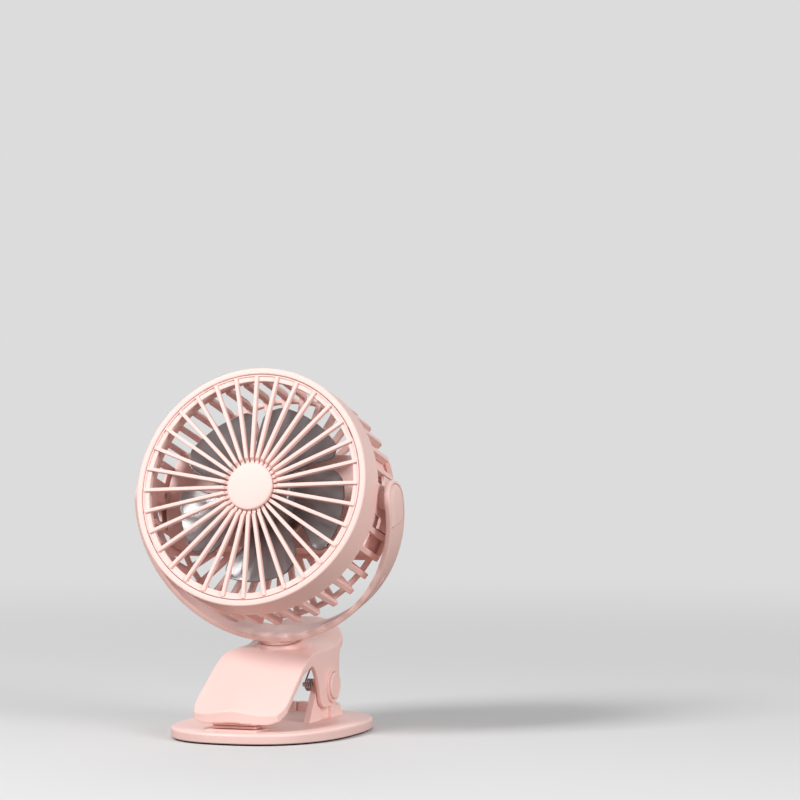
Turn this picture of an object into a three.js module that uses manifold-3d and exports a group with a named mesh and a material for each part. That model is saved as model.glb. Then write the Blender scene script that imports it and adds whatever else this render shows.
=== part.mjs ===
// A small rechargeable clip-on desk fan, as an assembly of its separate pieces.
// Millimetres, +Z up. The origin is the centre of the base's underside, the jaw opens towards -Y.
// It stands on its base, which is also the lower jaw of the clip. The clip arm is the upper jaw and
// carries a yoke on a swivel, and the yoke carries the fan head between two tilt joints.

import * as THREE from 'three';
import { mergeVertices } from 'three/addons/utils/BufferGeometryUtils.js';
import Module from 'manifold-3d';

const wasm = await Module();
wasm.setup();

const degree = Math.PI / 180;

// Driving dimensions

const clearance = 0.3; // between two pieces that seat on each other
const overrun = 2; // how far a cut runs past the face that it leaves

const baseLength = 140.6;
const baseWidth = 99.9;
const baseThickness = 5.6;
const footThickness = 0.8;

const lipWidth = 54.6;
const armWidth = 52.6; // over the ramp
const earWidth = 52; // over the two ears
const earThickness = 2.6;
const armThickness = 4;
const clipPivotY = 23.6;
const clipPivotZ = 25;
const pinRadius = 1.3;

const swivelY = 10.7; // where the swivel axis meets the underside of the yoke
const swivelZ = 52.8;
const swivelLean = 12.9 * degree; // the clip arm lies tipped forward while the clip is shut

const bodyRadius = 68; // the head at the rear of its solid band
const bandDraft = 0.5; // the band narrows by this towards the front
const frontRadius = bodyRadius - bandDraft; // the front ring of the head

const headGap = 5.1; // between the head and the inside of the yoke
const yokeThickness = 3.2;
const yokeWidth = 22.6;
const yokeRadius = bodyRadius + headGap + yokeThickness;
const tiltRise = 3.7; // from the middle of the yoke's circle up to the tilt axis
const tiltHeight = yokeRadius + tiltRise; // from the underside of the yoke
const tiltAngle = 29.7 * degree; // how far the head looks up out of the yoke

const frontReach = 27.8; // from the tilt axis forward to the face of the front ring
const bandReach = 8.1; // from the tilt axis forward to the rear edge of the solid band
const rearReach = 23.6; // from the tilt axis back to the rear face
const wall = 2.2;

const barCount = 32; // straight bars of the front grille
const basketStep = 10 * degree; // between two bars of the basket
const basketEdge = 15 * degree; // from the tilt axis to the first bar
const capRadius = 13.3;

const rotorRadius = 49.5;
const hubRadius = 19.5;
const bladeCount = 5;

const chamberHalfHeight = 27; // the closed band across the back of the head
const panelHalfHeight = 28.4; // the rear panel that closes it, out to the bars beside it
const chamberRoom = 18.6; // from the front of its front wall back to the rear face
const chamberDepth = rearReach - chamberRoom; // behind the tilt axis
const motorPocketRadius = 23;

// Solids

// The merged, closed surface of a geometry, without slivers and with its faces pointing out.
function surfaceOf(geometry) {
  const bare = new THREE.BufferGeometry();
  bare.setAttribute('position', geometry.getAttribute('position').clone());
  if (geometry.index) bare.setIndex(geometry.index.clone());
  const merged = mergeVertices(bare, 1e-4);
  const corners = merged.index.array;
  const places = merged.getAttribute('position');
  const kept = [];
  let volume = 0;
  const [a, b, c] = [new THREE.Vector3(), new THREE.Vector3(), new THREE.Vector3()];
  for (let i = 0; i < corners.length; i += 3) {
    const [p, q, r] = [corners[i], corners[i + 1], corners[i + 2]];
    if (p === q || q === r || r === p) continue;
    a.fromBufferAttribute(places, p);
    b.fromBufferAttribute(places, q);
    c.fromBufferAttribute(places, r);
    volume += a.dot(b.clone().cross(c));
    kept.push(p, q, r);
  }
  if (volume < 0) kept.reverse();
  return { places: places.array, corners: kept };
}

function solidOf(geometry) {
  const { places, corners } = surfaceOf(geometry);
  const triVerts = new Uint32Array(corners);
  return new wasm.Manifold(new wasm.Mesh({ numProp: 3, vertProperties: places, triVerts }));
}

function geometryOf(solid) {
  const mesh = solid.getMesh();
  const geometry = new THREE.BufferGeometry();
  geometry.setAttribute('position', new THREE.BufferAttribute(mesh.vertProperties, 3));
  geometry.setIndex(new THREE.BufferAttribute(mesh.triVerts, 1));
  return geometry;
}

// The pieces of a list as one solid.
function joined(solids) {
  return solids.reduce((whole, piece) => whole.add(piece));
}

function cutBy(solid, cutters) {
  return cutters.reduce((left, cutter) => left.subtract(cutter), solid);
}

// A solid turned about the Y axis of a closed profile of [radius, y] points.
function turned(points, segments = 32) {
  const profile = [...points, points[0]].map(([radius, y]) => new THREE.Vector2(radius, y));
  return new THREE.LatheGeometry(profile, segments);
}

function turnedAbout(axis, points, segments) {
  const geometry = turned(points, segments);
  if (axis === 'x') geometry.rotateZ(-Math.PI / 2);
  if (axis === 'z') geometry.rotateX(Math.PI / 2);
  return geometry;
}

// A round bar along an axis, from one place on the axis to another.
function rod(axis, radius, from, to, segments = 16) {
  return turnedAbout(axis, [[0, from], [radius, from], [radius, to], [0, to]], segments);
}

// A washer or ring along an axis.
function ring(axis, inner, outer, from, to, segments = 20) {
  const profile = [[inner, from], [outer, from], [outer, to], [inner, to]];
  return turnedAbout(axis, profile, segments);
}

function outline(points) {
  return new THREE.Shape(points.map(([x, y]) => new THREE.Vector2(x, y)));
}

function extruded(shape, depth, options = {}) {
  const settings = { depth, bevelEnabled: false, curveSegments: 8, steps: 1, ...options };
  return new THREE.ExtrudeGeometry(shape, settings);
}

// An outline drawn in Y and Z, extruded along X from one place to another.
function alongX(shape, from, to, options) {
  const geometry = extruded(shape, to - from, options);
  geometry.applyMatrix4(new THREE.Matrix4().set(0, 0, 1, from, 1, 0, 0, 0, 0, 1, 0, 0, 0, 0, 0, 1));
  return geometry;
}

// An outline drawn in X and Z, extruded along Y from one place to another.
function alongY(shape, from, to, options) {
  const geometry = extruded(shape, to - from, options);
  geometry.applyMatrix4(new THREE.Matrix4().set(1, 0, 0, 0, 0, 0, -1, to, 0, 1, 0, 0, 0, 0, 0, 1));
  return geometry;
}

function box(fromX, toX, fromY, toY, fromZ, toZ) {
  const geometry = new THREE.BoxGeometry(toX - fromX, toY - fromY, toZ - fromZ);
  return geometry.translate((fromX + toX) / 2, (fromY + toY) / 2, (fromZ + toZ) / 2);
}

// Part of a flat ring about the Y axis. Angles are measured from straight down, towards +X.
function ringSector(inner, outer, fromAngle, toAngle) {
  const shape = new THREE.Shape();
  const start = fromAngle - Math.PI / 2;
  const end = toAngle - Math.PI / 2;
  shape.absarc(0, 0, outer, start, end, false);
  shape.absarc(0, 0, inner, end, start, true);
  return shape;
}

// Materials

function plastic(color, roughness = 0.45) {
  return new THREE.MeshStandardMaterial({ color, roughness, metalness: 0 });
}

function metal(color, roughness = 0.3) {
  return new THREE.MeshStandardMaterial({ color, roughness, metalness: 1 });
}

const pinkAbs = '#f3cdc6';
const steel = '#c9cacc';
const blackRubber = '#161616';
const smokedPlastic = '#6a6668';

const fan = new THREE.Group();
const baseGroup = new THREE.Group();
const armGroup = new THREE.Group();
const yokeGroup = new THREE.Group();
const headGroup = new THREE.Group();
const rotorGroup = new THREE.Group();
fan.add(baseGroup, armGroup);
armGroup.add(yokeGroup);
yokeGroup.add(headGroup);
headGroup.add(rotorGroup);

function place(group, name, shape, material) {
  const solid = shape.isBufferGeometry ? solidOf(shape) : shape;
  const mesh = new THREE.Mesh(geometryOf(solid), material);
  mesh.name = name;
  group.add(mesh);
}

const sides = [['left', -1], ['right', 1]];

// Base, which is also the lower jaw

const footInset = 1.4;
const baseBevel = 1.5;
const baseTop = footThickness + baseThickness;

const outlineSteps = 56;
const outlineFullness = 2.45; // 2 would be an ellipse, and more fills its corners

function oval(length, width) {
  const filled = (part) => Math.sign(part) * Math.abs(part) ** (2 / outlineFullness);
  return outline(Array.from({ length: outlineSteps }, (_, i) => {
    const angle = ((i + 0.5) * 2 * Math.PI) / outlineSteps;
    return [(width / 2) * filled(Math.cos(angle)), (length / 2) * filled(Math.sin(angle))];
  }));
}

function slab(length, width, bottom, thickness, bevel) {
  const bevels = { bevelEnabled: true, bevelThickness: bevel, bevelSize: bevel, bevelOffset: -bevel };
  const body = extruded(oval(length, width), thickness - 2 * bevel, { ...bevels, bevelSegments: 1 });
  return body.translate(0, 0, bottom + bevel);
}

const postThickness = 3.6;
const postOuter = earWidth / 2 - earThickness - clearance;
const postInner = postOuter - postThickness; // from the centre plane to the inner face of a post
const postHeadRadius = 7;
const postFrontFoot = -3.4;
const postFrontWaist = 7.7;
const postWaistHeight = 17.3;
const postRearWaist = 37.4;
const postRibHeight = 6;
const postRibEnd = 47.5;
const postRibSlope = 3; // how much shorter the rib is at its top
const postPocketDepth = 1;
const postPocketFront = 17.5;
const postPocketRear = 33.3;
const postPocketHeight = 11;
const stopHeight = 5.6; // the three blocks that the springs push against
const stopInset = 16.3; // from the rear end of the foot
const stopFront = baseLength / 2 - stopInset;
const stopDepth = 4;
const stopGap = 1.1;
const middleStopWidth = 14;
const sideStopWidth = 9.8;

function postOutline() {
  const shape = new THREE.Shape();
  const root = baseTop - baseBevel;
  shape.moveTo(postFrontFoot, root);
  shape.lineTo(postFrontFoot, baseTop);
  shape.lineTo(postFrontWaist, baseTop + postWaistHeight);
  shape.quadraticCurveTo(clipPivotY - postHeadRadius, clipPivotZ + postHeadRadius,
    clipPivotY, clipPivotZ + postHeadRadius);
  shape.absarc(clipPivotY, clipPivotZ, postHeadRadius, Math.PI / 2, 0, true);
  shape.lineTo(postRearWaist, baseTop + postRibHeight);
  shape.lineTo(postRibEnd - postRibSlope, baseTop + postRibHeight);
  shape.lineTo(postRibEnd, baseTop);
  shape.lineTo(postRibEnd, root);
  return shape;
}

function basePlate() {
  const pieces = [solidOf(slab(baseLength, baseWidth, footThickness, baseThickness, baseBevel))];
  const cuts = [];
  for (const [, side] of sides) {
    const inner = side * postInner;
    const outer = side * (postInner + postThickness);
    const [from, to] = [Math.min(inner, outer), Math.max(inner, outer)];
    pieces.push(solidOf(alongX(postOutline(), from, to)));
    const pocketFloor = outer - side * postPocketDepth;
    const pocketMouth = outer + side * overrun;
    cuts.push(solidOf(box(Math.min(pocketFloor, pocketMouth), Math.max(pocketFloor, pocketMouth),
      postPocketFront, postPocketRear, baseTop + postPocketDepth,
      baseTop + postPocketHeight)));
    cuts.push(solidOf(rod('x', pinRadius + clearance / 2, from - overrun, to + overrun)));
  }
  const bores = cuts.filter((_, index) => index % 2 === 1);
  const pockets = cuts.filter((_, index) => index % 2 === 0);
  const placedBores = bores.map((bore) => bore.translate([0, clipPivotY, clipPivotZ]));
  const stopBottom = baseTop - baseBevel;
  const stopTop = baseTop + stopHeight;
  const sideStopEdge = middleStopWidth / 2 + stopGap;
  const spans = [
    [-middleStopWidth / 2, middleStopWidth / 2],
    [-sideStopEdge - sideStopWidth, -sideStopEdge],
    [sideStopEdge, sideStopEdge + sideStopWidth],
  ];
  for (const [from, to] of spans)
    pieces.push(solidOf(box(from, to, stopFront, stopFront + stopDepth, stopBottom, stopTop)));
  return cutBy(joined(pieces), [...pockets, ...placedBores]);
}

const footBevel = 0.2;
const foot = slab(baseLength - 2 * footInset, baseWidth - 2 * footInset, 0, footThickness, footBevel);
place(baseGroup, 'anti_slip_pad', foot, plastic(blackRubber, 0.9));
place(baseGroup, 'base_plate', basePlate(), plastic(pinkAbs));

// Ribbed pad on the lower jaw

const padWidth = 30;
const padDepth = 18;
const padInset = 9.3; // from the front end of the foot
const padFront = padInset - baseLength / 2;
const padThickness = 0.5;
const ridgeCount = 4;
const ridgeHeight = 0.6;

function lowerPadOutline() {
  const bottom = baseTop;
  const points = [[padFront + padDepth, bottom], [padFront, bottom]];
  const pitch = padDepth / ridgeCount;
  for (let i = 0; i < ridgeCount; i += 1) {
    const start = padFront + i * pitch;
    points.push([start, bottom + padThickness]);
    points.push([start + pitch / 2, bottom + padThickness + ridgeHeight]);
  }
  points.push([padFront + padDepth, bottom + padThickness]);
  return outline(points);
}

const lowerPad = alongX(lowerPadOutline(), -padWidth / 2, padWidth / 2);
place(baseGroup, 'lower_jaw_pad', lowerPad, plastic(pinkAbs, 0.7));

// Clip pivot: two steel pins through the posts and the ears

const pinInnerEnd = 8.5;
const earOuter = earWidth / 2;
const earInner = earOuter - earThickness;
const capPlugRadius = 7.4;
const capPlugDepth = 1.1;
const capProud = 1.9;
const capChamfer = 0.9;
const earBossRadius = 10;
const earBossHeight = 0.9;

for (const [name, side] of sides) {
  const outerEnd = earOuter - capPlugDepth - clearance;
  const ends = [side * pinInnerEnd, side * outerEnd].sort((a, b) => a - b);
  const pin = rod('x', pinRadius, ends[0], ends[1]).translate(0, clipPivotY, clipPivotZ);
  place(baseGroup, `pivot_pin_${name}`, pin, metal(steel));
}

// Clip arm, the upper jaw: one sheet with a ramp, a flat for the swivel and a raised thumb tab

const lipFront = -52.5; // at the sides, where the lip is furthest back
const lipBulge = 8.5; // how much further forward the middle of the lip is
const lipTop = 18;
const lipDip = 2.2; // how much lower the upper edge of the lip is on either side of its middle
const lipDipPlace = 17.5;
const lipBottom = 10.2;
const lipReturn = 2.2; // thickness of the turned-down lip
const lipCorner = 8; // how far its rounded corners reach
const lipWave = 1;
const lipCornerRise = 3;
const rampAngle = 33.3 * degree;
const flatAngle = 6 * degree;
const flatDrop = 5.6; // from the underside of the yoke down to the flat, along the swivel axis
const kneeReach = 12; // how far the bend between ramp and flat reaches along each
const tabStart = 16.2; // from the swivel axis back to the bend into the tab
const tabBendReach = 8;
const tabLength = 29.5;
const tabAngle = 24.2 * degree;
const tabEdgeThickness = 5;
const tabRoundDepth = 17; // how deep the round end of the tab is, seen from above
const tabCrown = 5; // how much lower the sides of the tab are than its middle
const rampCrown = 0.8;

const axisUp = [-Math.sin(swivelLean), Math.cos(swivelLean)]; // in Y and Z
const flatCentre = [swivelY - flatDrop * axisUp[0], swivelZ - flatDrop * axisUp[1]];

function stepped([y, z], [alongDirectionY, alongDirectionZ], distance) {
  return [y + alongDirectionY * distance, z + alongDirectionZ * distance];
}

function crossing([y1, z1], [dy1, dz1], [y2, z2], [dy2, dz2]) {
  const share = ((y2 - y1) * dz2 - (z2 - z1) * dy2) / (dy1 * dz2 - dz1 * dy2);
  return [y1 + share * dy1, z1 + share * dz1];
}

const rampWay = [Math.cos(rampAngle), Math.sin(rampAngle)];
const flatWay = [Math.cos(flatAngle), Math.sin(flatAngle)];
const tabWay = [Math.cos(tabAngle), Math.sin(tabAngle)];
const underRamp = [Math.sin(rampAngle), -Math.cos(rampAngle)];
const underFlat = [Math.sin(flatAngle), -Math.cos(flatAngle)];
const underTab = [Math.sin(tabAngle), -Math.cos(tabAngle)];

const lipEdge = [lipFront, lipTop];
const knee = crossing(lipEdge, rampWay, flatCentre, flatWay);
const tabBend = stepped(flatCentre, flatWay, tabStart);
const tabEnd = stepped(tabBend, tabWay, tabLength);
const rampUnder = stepped(lipEdge, underRamp, armThickness);
const flatUnder = stepped(flatCentre, underFlat, armThickness);
const tabUnder = stepped(tabBend, underTab, armThickness);
const tabEndUnder = stepped(tabEnd, underTab, tabEdgeThickness);
const kneeUnder = crossing(rampUnder, rampWay, flatUnder, flatWay);
const tabBendUnder = crossing(flatUnder, flatWay, tabUnder, tabWay);
const back = ([y, z]) => [-y, -z];

// The side view of the sheet, lip first, along its top and back along its underside.
function sheetOutline() {
  const shape = new THREE.Shape();
  const bendUnderWay = [tabEndUnder[0] - tabBendUnder[0], tabEndUnder[1] - tabBendUnder[1]];
  const bendUnderLength = Math.hypot(...bendUnderWay);
  const tabUnderWay = bendUnderWay.map((part) => part / bendUnderLength);
  shape.moveTo(lipFront, lipBottom);
  shape.lineTo(...lipEdge);
  shape.lineTo(...stepped(knee, back(rampWay), kneeReach));
  shape.quadraticCurveTo(...knee, ...stepped(knee, flatWay, kneeReach));
  shape.lineTo(...stepped(tabBend, back(flatWay), tabBendReach));
  shape.quadraticCurveTo(...tabBend, ...stepped(tabBend, tabWay, tabBendReach));
  shape.lineTo(...tabEnd);
  shape.lineTo(...tabEndUnder);
  shape.lineTo(...stepped(tabBendUnder, tabUnderWay, tabBendReach));
  shape.quadraticCurveTo(...tabBendUnder, ...stepped(tabBendUnder, back(flatWay), tabBendReach));
  shape.lineTo(...stepped(kneeUnder, flatWay, kneeReach));
  shape.quadraticCurveTo(...kneeUnder, ...stepped(kneeUnder, back(rampWay), kneeReach));
  shape.lineTo(...crossing(rampUnder, rampWay, [lipFront + lipReturn, lipBottom], [0, 1]));
  shape.lineTo(lipFront + lipReturn, lipBottom);
  return shape;
}

// The flat sheet is bent in the other direction: the lip bulges forward and the tab is crowned.
function crownAt(y) {
  return rampCrown + (tabCrown - rampCrown) * THREE.MathUtils.smoothstep(y, knee[0], tabEnd[0]);
}

function bendSheet(geometry) {
  const places = geometry.getAttribute('position');
  for (let i = 0; i < places.count; i += 1) {
    const [x, y, z] = [places.getX(i), places.getY(i), places.getZ(i)];
    const across = Math.abs(x) / (lipWidth / 2);
    const towardsLip = THREE.MathUtils.clamp((knee[0] - y) / (knee[0] - lipFront), 0, 1);
    const dip = lipDip * Math.sin((Math.PI * x) / (2 * lipDipPlace)) ** 2 * towardsLip ** 2;
    places.setY(i, y - lipBulge * (1 - across ** 2) * towardsLip);
    places.setZ(i, z - crownAt(y) * across ** 2.5 - dip);
  }
  return geometry;
}

// The sheet seen from above: wide at the lip, a little narrower at the ears, round at the tab.
function armPlan() {
  const half = armWidth / 2;
  const lipHalf = lipWidth / 2;
  const corner = lipCorner;
  const cornerDepth = lipBulge - clearance;
  const roundStart = tabEnd[0] - tabRoundDepth;
  const shape = new THREE.Shape();
  shape.moveTo(-lipHalf + corner, lipFront - cornerDepth);
  shape.lineTo(0, lipFront - lipBulge - overrun);
  shape.lineTo(lipHalf - corner, lipFront - cornerDepth);
  shape.quadraticCurveTo(lipHalf, lipFront - clearance, lipHalf, lipFront + corner);
  shape.lineTo(half, knee[0] - corner);
  shape.lineTo(earOuter, knee[0] + corner);
  shape.lineTo(earOuter, roundStart);
  shape.absellipse(0, roundStart, earOuter, tabRoundDepth, 0, Math.PI, false, 0);
  shape.lineTo(-earOuter, knee[0] + corner);
  shape.lineTo(-half, knee[0] - corner);
  shape.lineTo(-lipHalf, lipFront + corner);
  shape.quadraticCurveTo(-lipHalf, lipFront - clearance, -lipHalf + corner, lipFront - cornerDepth);
  return shape;
}

// What is cut from below the lip, so that its lower edge rises in the middle and at the corners.
function lipWaveCutter() {
  const half = lipWidth / 2 + overrun;
  const trough = lipDipPlace;
  const steps = 12;
  const below = lipBottom - lipDip - overrun;
  const points = [[half, below], [-half, below]];
  for (let i = 0; i <= steps; i += 1) {
    const x = -half + (2 * half * i) / steps;
    const beyond = Math.max(Math.abs(x) - trough, 0) / (lipWidth / 2 - trough);
    const inside = Math.min(Math.abs(x) / trough, 1);
    const rise = (lipWave / 2) * (1 + Math.cos(Math.PI * inside)) + lipCornerRise * beyond ** 2;
    points.push([x, lipBottom + rise]);
  }
  return alongY(outline(points), lipFront - lipBulge - overrun, lipFront + lipReturn + clearance);
}

const earRadius = 11.6;
const earWebFront = -27; // the sheet's rim thickens from here to the ear
const earWebDepth = 4.6;
const earApex = -6; // where the front edge of an ear leaves the rim
const earShoulder = 1.6;
const earToe = 6.9; // where its front edge turns to its foot
const earToeRadius = 5.4;
const earRearFlare = 3.4; // how far it widens to the rear below the tab
const earRearFlareHeight = 12;

// The middle of the sheet at its two sides.
function edgeMiddle(y) {
  let [place, way] = [flatCentre, flatWay];
  if (y < knee[0]) [place, way] = [knee, rampWay];
  if (y > tabBend[0]) [place, way] = [tabBend, tabWay];
  return place[1] + ((y - place[0]) * way[1]) / way[0] - crownAt(y) - armThickness / 2;
}

function earOutline() {
  const shape = new THREE.Shape();
  const foot = clipPivotZ - earRadius;
  const rear = clipPivotY + earRadius;
  const flareTop = edgeMiddle(rear + earRearFlare);
  const apexZ = edgeMiddle(earApex) - earWebDepth;
  shape.moveTo(earWebFront, edgeMiddle(earWebFront));
  shape.lineTo(earApex, apexZ);
  shape.quadraticCurveTo(earShoulder, apexZ - earShoulder, earToe, foot + earToeRadius);
  shape.quadraticCurveTo(earToe + earToeRadius / 3, foot, earToe + 1.5 * earToeRadius, foot);
  shape.lineTo(clipPivotY, foot);
  shape.absarc(clipPivotY, clipPivotZ, earRadius, 1.5 * Math.PI, 2 * Math.PI, false);
  shape.lineTo(rear, flareTop - earRearFlareHeight);
  shape.quadraticCurveTo(rear, flareTop - armThickness, rear + earRearFlare, flareTop);
  for (const share of [0.8, 0.6, 0.4, 0.2]) {
    const y = THREE.MathUtils.lerp(earWebFront, rear + earRearFlare, share);
    shape.lineTo(y, edgeMiddle(y));
  }
  return shape;
}

const stemRadius = 5;
const swivelWasherRadius = 8.4;
const seatRim = 1; // how far the lower seat of the swivel runs past its washer
const seatDrop = 1.4; // how far that seat stands below the sheet
const swivelSeat = flatDrop + armThickness + seatDrop; // from the underside of the yoke
const bossRadius = 12.6;
const bossRootRadius = 16;
const bossHeight = 3.2;
const bossRootShare = 0.45; // how deep the boss goes into the sheet

// Everything on the swivel axis is drawn along Z from the underside of the yoke, then leaned over.
function onSwivel(geometry) {
  return geometry.rotateX(swivelLean).translate(0, swivelY, swivelZ);
}

const upperPadThickness = 1.4;
const jawPadBottom = baseTop + padThickness + ridgeHeight + clearance;
const jawPadTop = jawPadBottom + upperPadThickness + clearance;
const jawBlockFront = -56.6;
const jawBlockDepth = 12;

function clipArm() {
  const half = lipWidth / 2;
  const sheet = bendSheet(alongX(sheetOutline(), -half, half, { steps: 8, curveSegments: 4 }));
  const plan = extruded(armPlan(), tabEnd[1] + overrun, { curveSegments: 8 });
  const body = solidOf(sheet).intersect(solidOf(plan)).subtract(solidOf(lipWaveCutter()));
  const pieces = [body];
  const cuts = [];
  for (const [, side] of sides) {
    const faces = [side * earInner, side * earOuter].sort((a, b) => a - b);
    pieces.push(solidOf(alongX(earOutline(), faces[0], faces[1], { curveSegments: 6 })));
    const boss = [side * (earOuter - overrun), side * (earOuter + earBossHeight)];
    boss.sort((a, b) => a - b);
    const ear = rod('x', earBossRadius, boss[0], boss[1], 20);
    pieces.push(solidOf(ear.translate(0, clipPivotY, clipPivotZ)));
    const plug = [side * (earOuter - capPlugDepth), side * (earOuter + overrun)];
    plug.sort((a, b) => a - b);
    const seat = rod('x', capPlugRadius + clearance, plug[0], plug[1], 20);
    cuts.push(solidOf(seat.translate(0, clipPivotY, clipPivotZ)));
    const hole = [side * (earInner - overrun), side * earOuter].sort((a, b) => a - b);
    const bore = rod('x', pinRadius + clearance, hole[0], hole[1]);
    cuts.push(solidOf(bore.translate(0, clipPivotY, clipPivotZ)));
  }
  const blockHalf = padWidth / 2 - lipReturn;
  const underside = crossing(rampUnder, rampWay, [jawBlockFront + jawBlockDepth, 0], [0, 1])[1];
  const block = outline([
    [jawBlockFront, jawPadTop], [jawBlockFront + jawBlockDepth, jawPadTop],
    [jawBlockFront + jawBlockDepth, underside + armThickness], [jawBlockFront, lipTop],
  ]);
  pieces.push(solidOf(alongX(block, -blockHalf, blockHalf)));
  const top = -flatDrop + bossHeight;
  const root = -flatDrop - armThickness * bossRootShare;
  const boss = onSwivel(turnedAbout('z', [[0, root], [bossRootRadius, root],
    [bossRootRadius, -flatDrop], [bossRadius + clearance, -flatDrop + bossHeight / 2],
    [bossRadius, top], [0, top]], 28));
  const seat = onSwivel(rod('z', swivelWasherRadius + seatRim, -swivelSeat, root, 24));
  pieces.push(solidOf(boss), solidOf(seat));
  const bore = onSwivel(rod('z', stemRadius + clearance, -swivelSeat - overrun, 0, 20));
  cuts.push(solidOf(bore));
  return cutBy(joined(pieces), cuts);
}

place(armGroup, 'clip_arm', clipArm(), plastic(pinkAbs));

const upperPad = box(-padWidth / 2 + lipReturn, padWidth / 2 - lipReturn, jawBlockFront,
  jawBlockFront + jawBlockDepth, jawPadBottom, jawPadTop - clearance);
place(armGroup, 'upper_jaw_pad', upperPad, plastic(pinkAbs, 0.8));

for (const [name, side] of sides) {
  const inner = earOuter - capPlugDepth + clearance;
  const profile = [[0, inner], [capPlugRadius, inner],
    [capPlugRadius, earOuter + capProud - capChamfer],
    [capPlugRadius - capChamfer, earOuter + capProud], [0, earOuter + capProud]];
  const cap = turnedAbout('x', profile.map(([radius, x]) => [radius, side * x]), 20);
  cap.translate(0, clipPivotY, clipPivotZ);
  place(armGroup, `pivot_cap_${name}`, cap, plastic(pinkAbs));
}

// Torsion springs round the pins, one leg on the base and one under the thumb tab

const wireRadius = 0.4;
const coilRadius = 2.6; // to the middle of the wire
const coilPitch = 1.25;
const coilStart = 15.2; // where the coil leaves its leg on the base
const coilTurns = 3;
const stepsInTurn = 8;
const wireSides = 5;
const stepsInLeg = 3;
const springLegEnd = 44;

// The wire runs straight to the coil, round it, and straight off it again, all without a corner.
class SpringPath extends THREE.Curve {
  constructor(side) {
    super();
    this.side = side;
    this.baseEnd = new THREE.Vector2(stopFront - wireRadius - clearance - clipPivotY,
      baseTop + wireRadius + clearance - clipPivotZ);
    const above = crossing(tabBendUnder, tabWay, [springLegEnd, 0], [0, 1]);
    const gap = wireRadius + clearance + tabEdgeThickness - armThickness + tabCrown / 2;
    this.tabEnd = new THREE.Vector2(springLegEnd - clipPivotY, above[1] - gap - clipPivotZ);
    const leave = (end, turn) => end.angle() + turn * Math.acos(coilRadius / end.length());
    this.startAngle = leave(this.baseEnd, -1);
    const endAngle = leave(this.tabEnd, 1);
    const part = THREE.MathUtils.euclideanModulo(this.startAngle - endAngle, 2 * Math.PI);
    this.sweep = part + coilTurns * 2 * Math.PI;
    this.coilSteps = Math.round((stepsInTurn * this.sweep) / (2 * Math.PI));
    this.steps = this.coilSteps + 2 * stepsInLeg;
  }

  onCoil(share) {
    const angle = this.startAngle - share * this.sweep;
    const x = coilStart - (coilPitch * share * this.sweep) / (2 * Math.PI);
    return [x, coilRadius * Math.cos(angle), coilRadius * Math.sin(angle)];
  }

  getUtoTmapping(u) {
    return u;
  }

  getPoint(t, target = new THREE.Vector3()) {
    const step = t * this.steps;
    const [firstX, firstY, firstZ] = this.onCoil(0);
    const [lastX, lastY, lastZ] = this.onCoil(1);
    let [x, y, z] = this.onCoil(THREE.MathUtils.clamp((step - stepsInLeg) / this.coilSteps, 0, 1));
    if (step < stepsInLeg) {
      const share = 1 - step / stepsInLeg;
      [x, y, z] = [firstX, THREE.MathUtils.lerp(firstY, this.baseEnd.x, share),
        THREE.MathUtils.lerp(firstZ, this.baseEnd.y, share)];
    }
    if (step > stepsInLeg + this.coilSteps) {
      const share = (step - stepsInLeg - this.coilSteps) / stepsInLeg;
      [x, y, z] = [lastX, THREE.MathUtils.lerp(lastY, this.tabEnd.x, share),
        THREE.MathUtils.lerp(lastZ, this.tabEnd.y, share)];
    }
    return target.set(this.side * x, clipPivotY + y, clipPivotZ + z);
  }
}

// The least distance between two stretches of the wire, less the wire itself.
function leastGap(path) {
  const points = path.getSpacedPoints(4 * path.steps);
  const apart = Math.ceil((4 * stepsInTurn) / 2);
  let least = Infinity;
  for (let i = 0; i < points.length; i += 1)
    for (let j = i + apart; j < points.length; j += 1)
      least = Math.min(least, points[i].distanceTo(points[j]));
  return least - 2 * wireRadius;
}

for (const [name, side] of sides) {
  const path = new SpringPath(side);
  const section = outline(Array.from({ length: wireSides }, (_, i) => {
    const angle = (i * 2 * Math.PI) / wireSides;
    return [wireRadius * Math.cos(angle), wireRadius * Math.sin(angle)];
  }));
  const wire = extruded(section, 0, { steps: path.steps, extrudePath: path });
  place(baseGroup, `torsion_spring_${name}`, wire, metal(steel, 0.25));
  console.log(`torsion_spring_${name}: least gap in the coil ${leastGap(path).toFixed(2)} mm`);
}

// Yoke, on a stem that turns in the boss of the arm

yokeGroup.position.set(0, swivelY, swivelZ);
yokeGroup.rotation.set(swivelLean, 0, 0);

const yokeBevel = 0.8;
const yokeFootRadius = 11.2;
const yokeFootHeight = flatDrop - bossHeight - clearance;
const slotStart = 20 * degree;
const slotEnd = 60 * degree;
const slotWidth = 4;
const screwShankRadius = 1.8;
const stemProud = 1; // how far the stem comes through the lower seat
const stemLength = swivelSeat + stemProud;
const endCapHalfWidth = 7.4;
const endCapSeam = 14; // from the tilt axis down to the straight lower end of the end cap
const endCapThickness = 1.5;
const endCapProud = 0.7;
const screwSeatRadius = 4.6;
const screwSeatDepth = 1.2;
const shoulderRadius = 2;

// A round-ended upright outline in Y and Z about the tilt axis, open downwards to a straight end.
function pillOutline(halfWidth, down) {
  const shape = new THREE.Shape();
  shape.moveTo(-halfWidth, tiltHeight - down);
  shape.lineTo(halfWidth, tiltHeight - down);
  shape.absarc(0, tiltHeight, halfWidth, 0, Math.PI, false);
  return shape;
}

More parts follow.
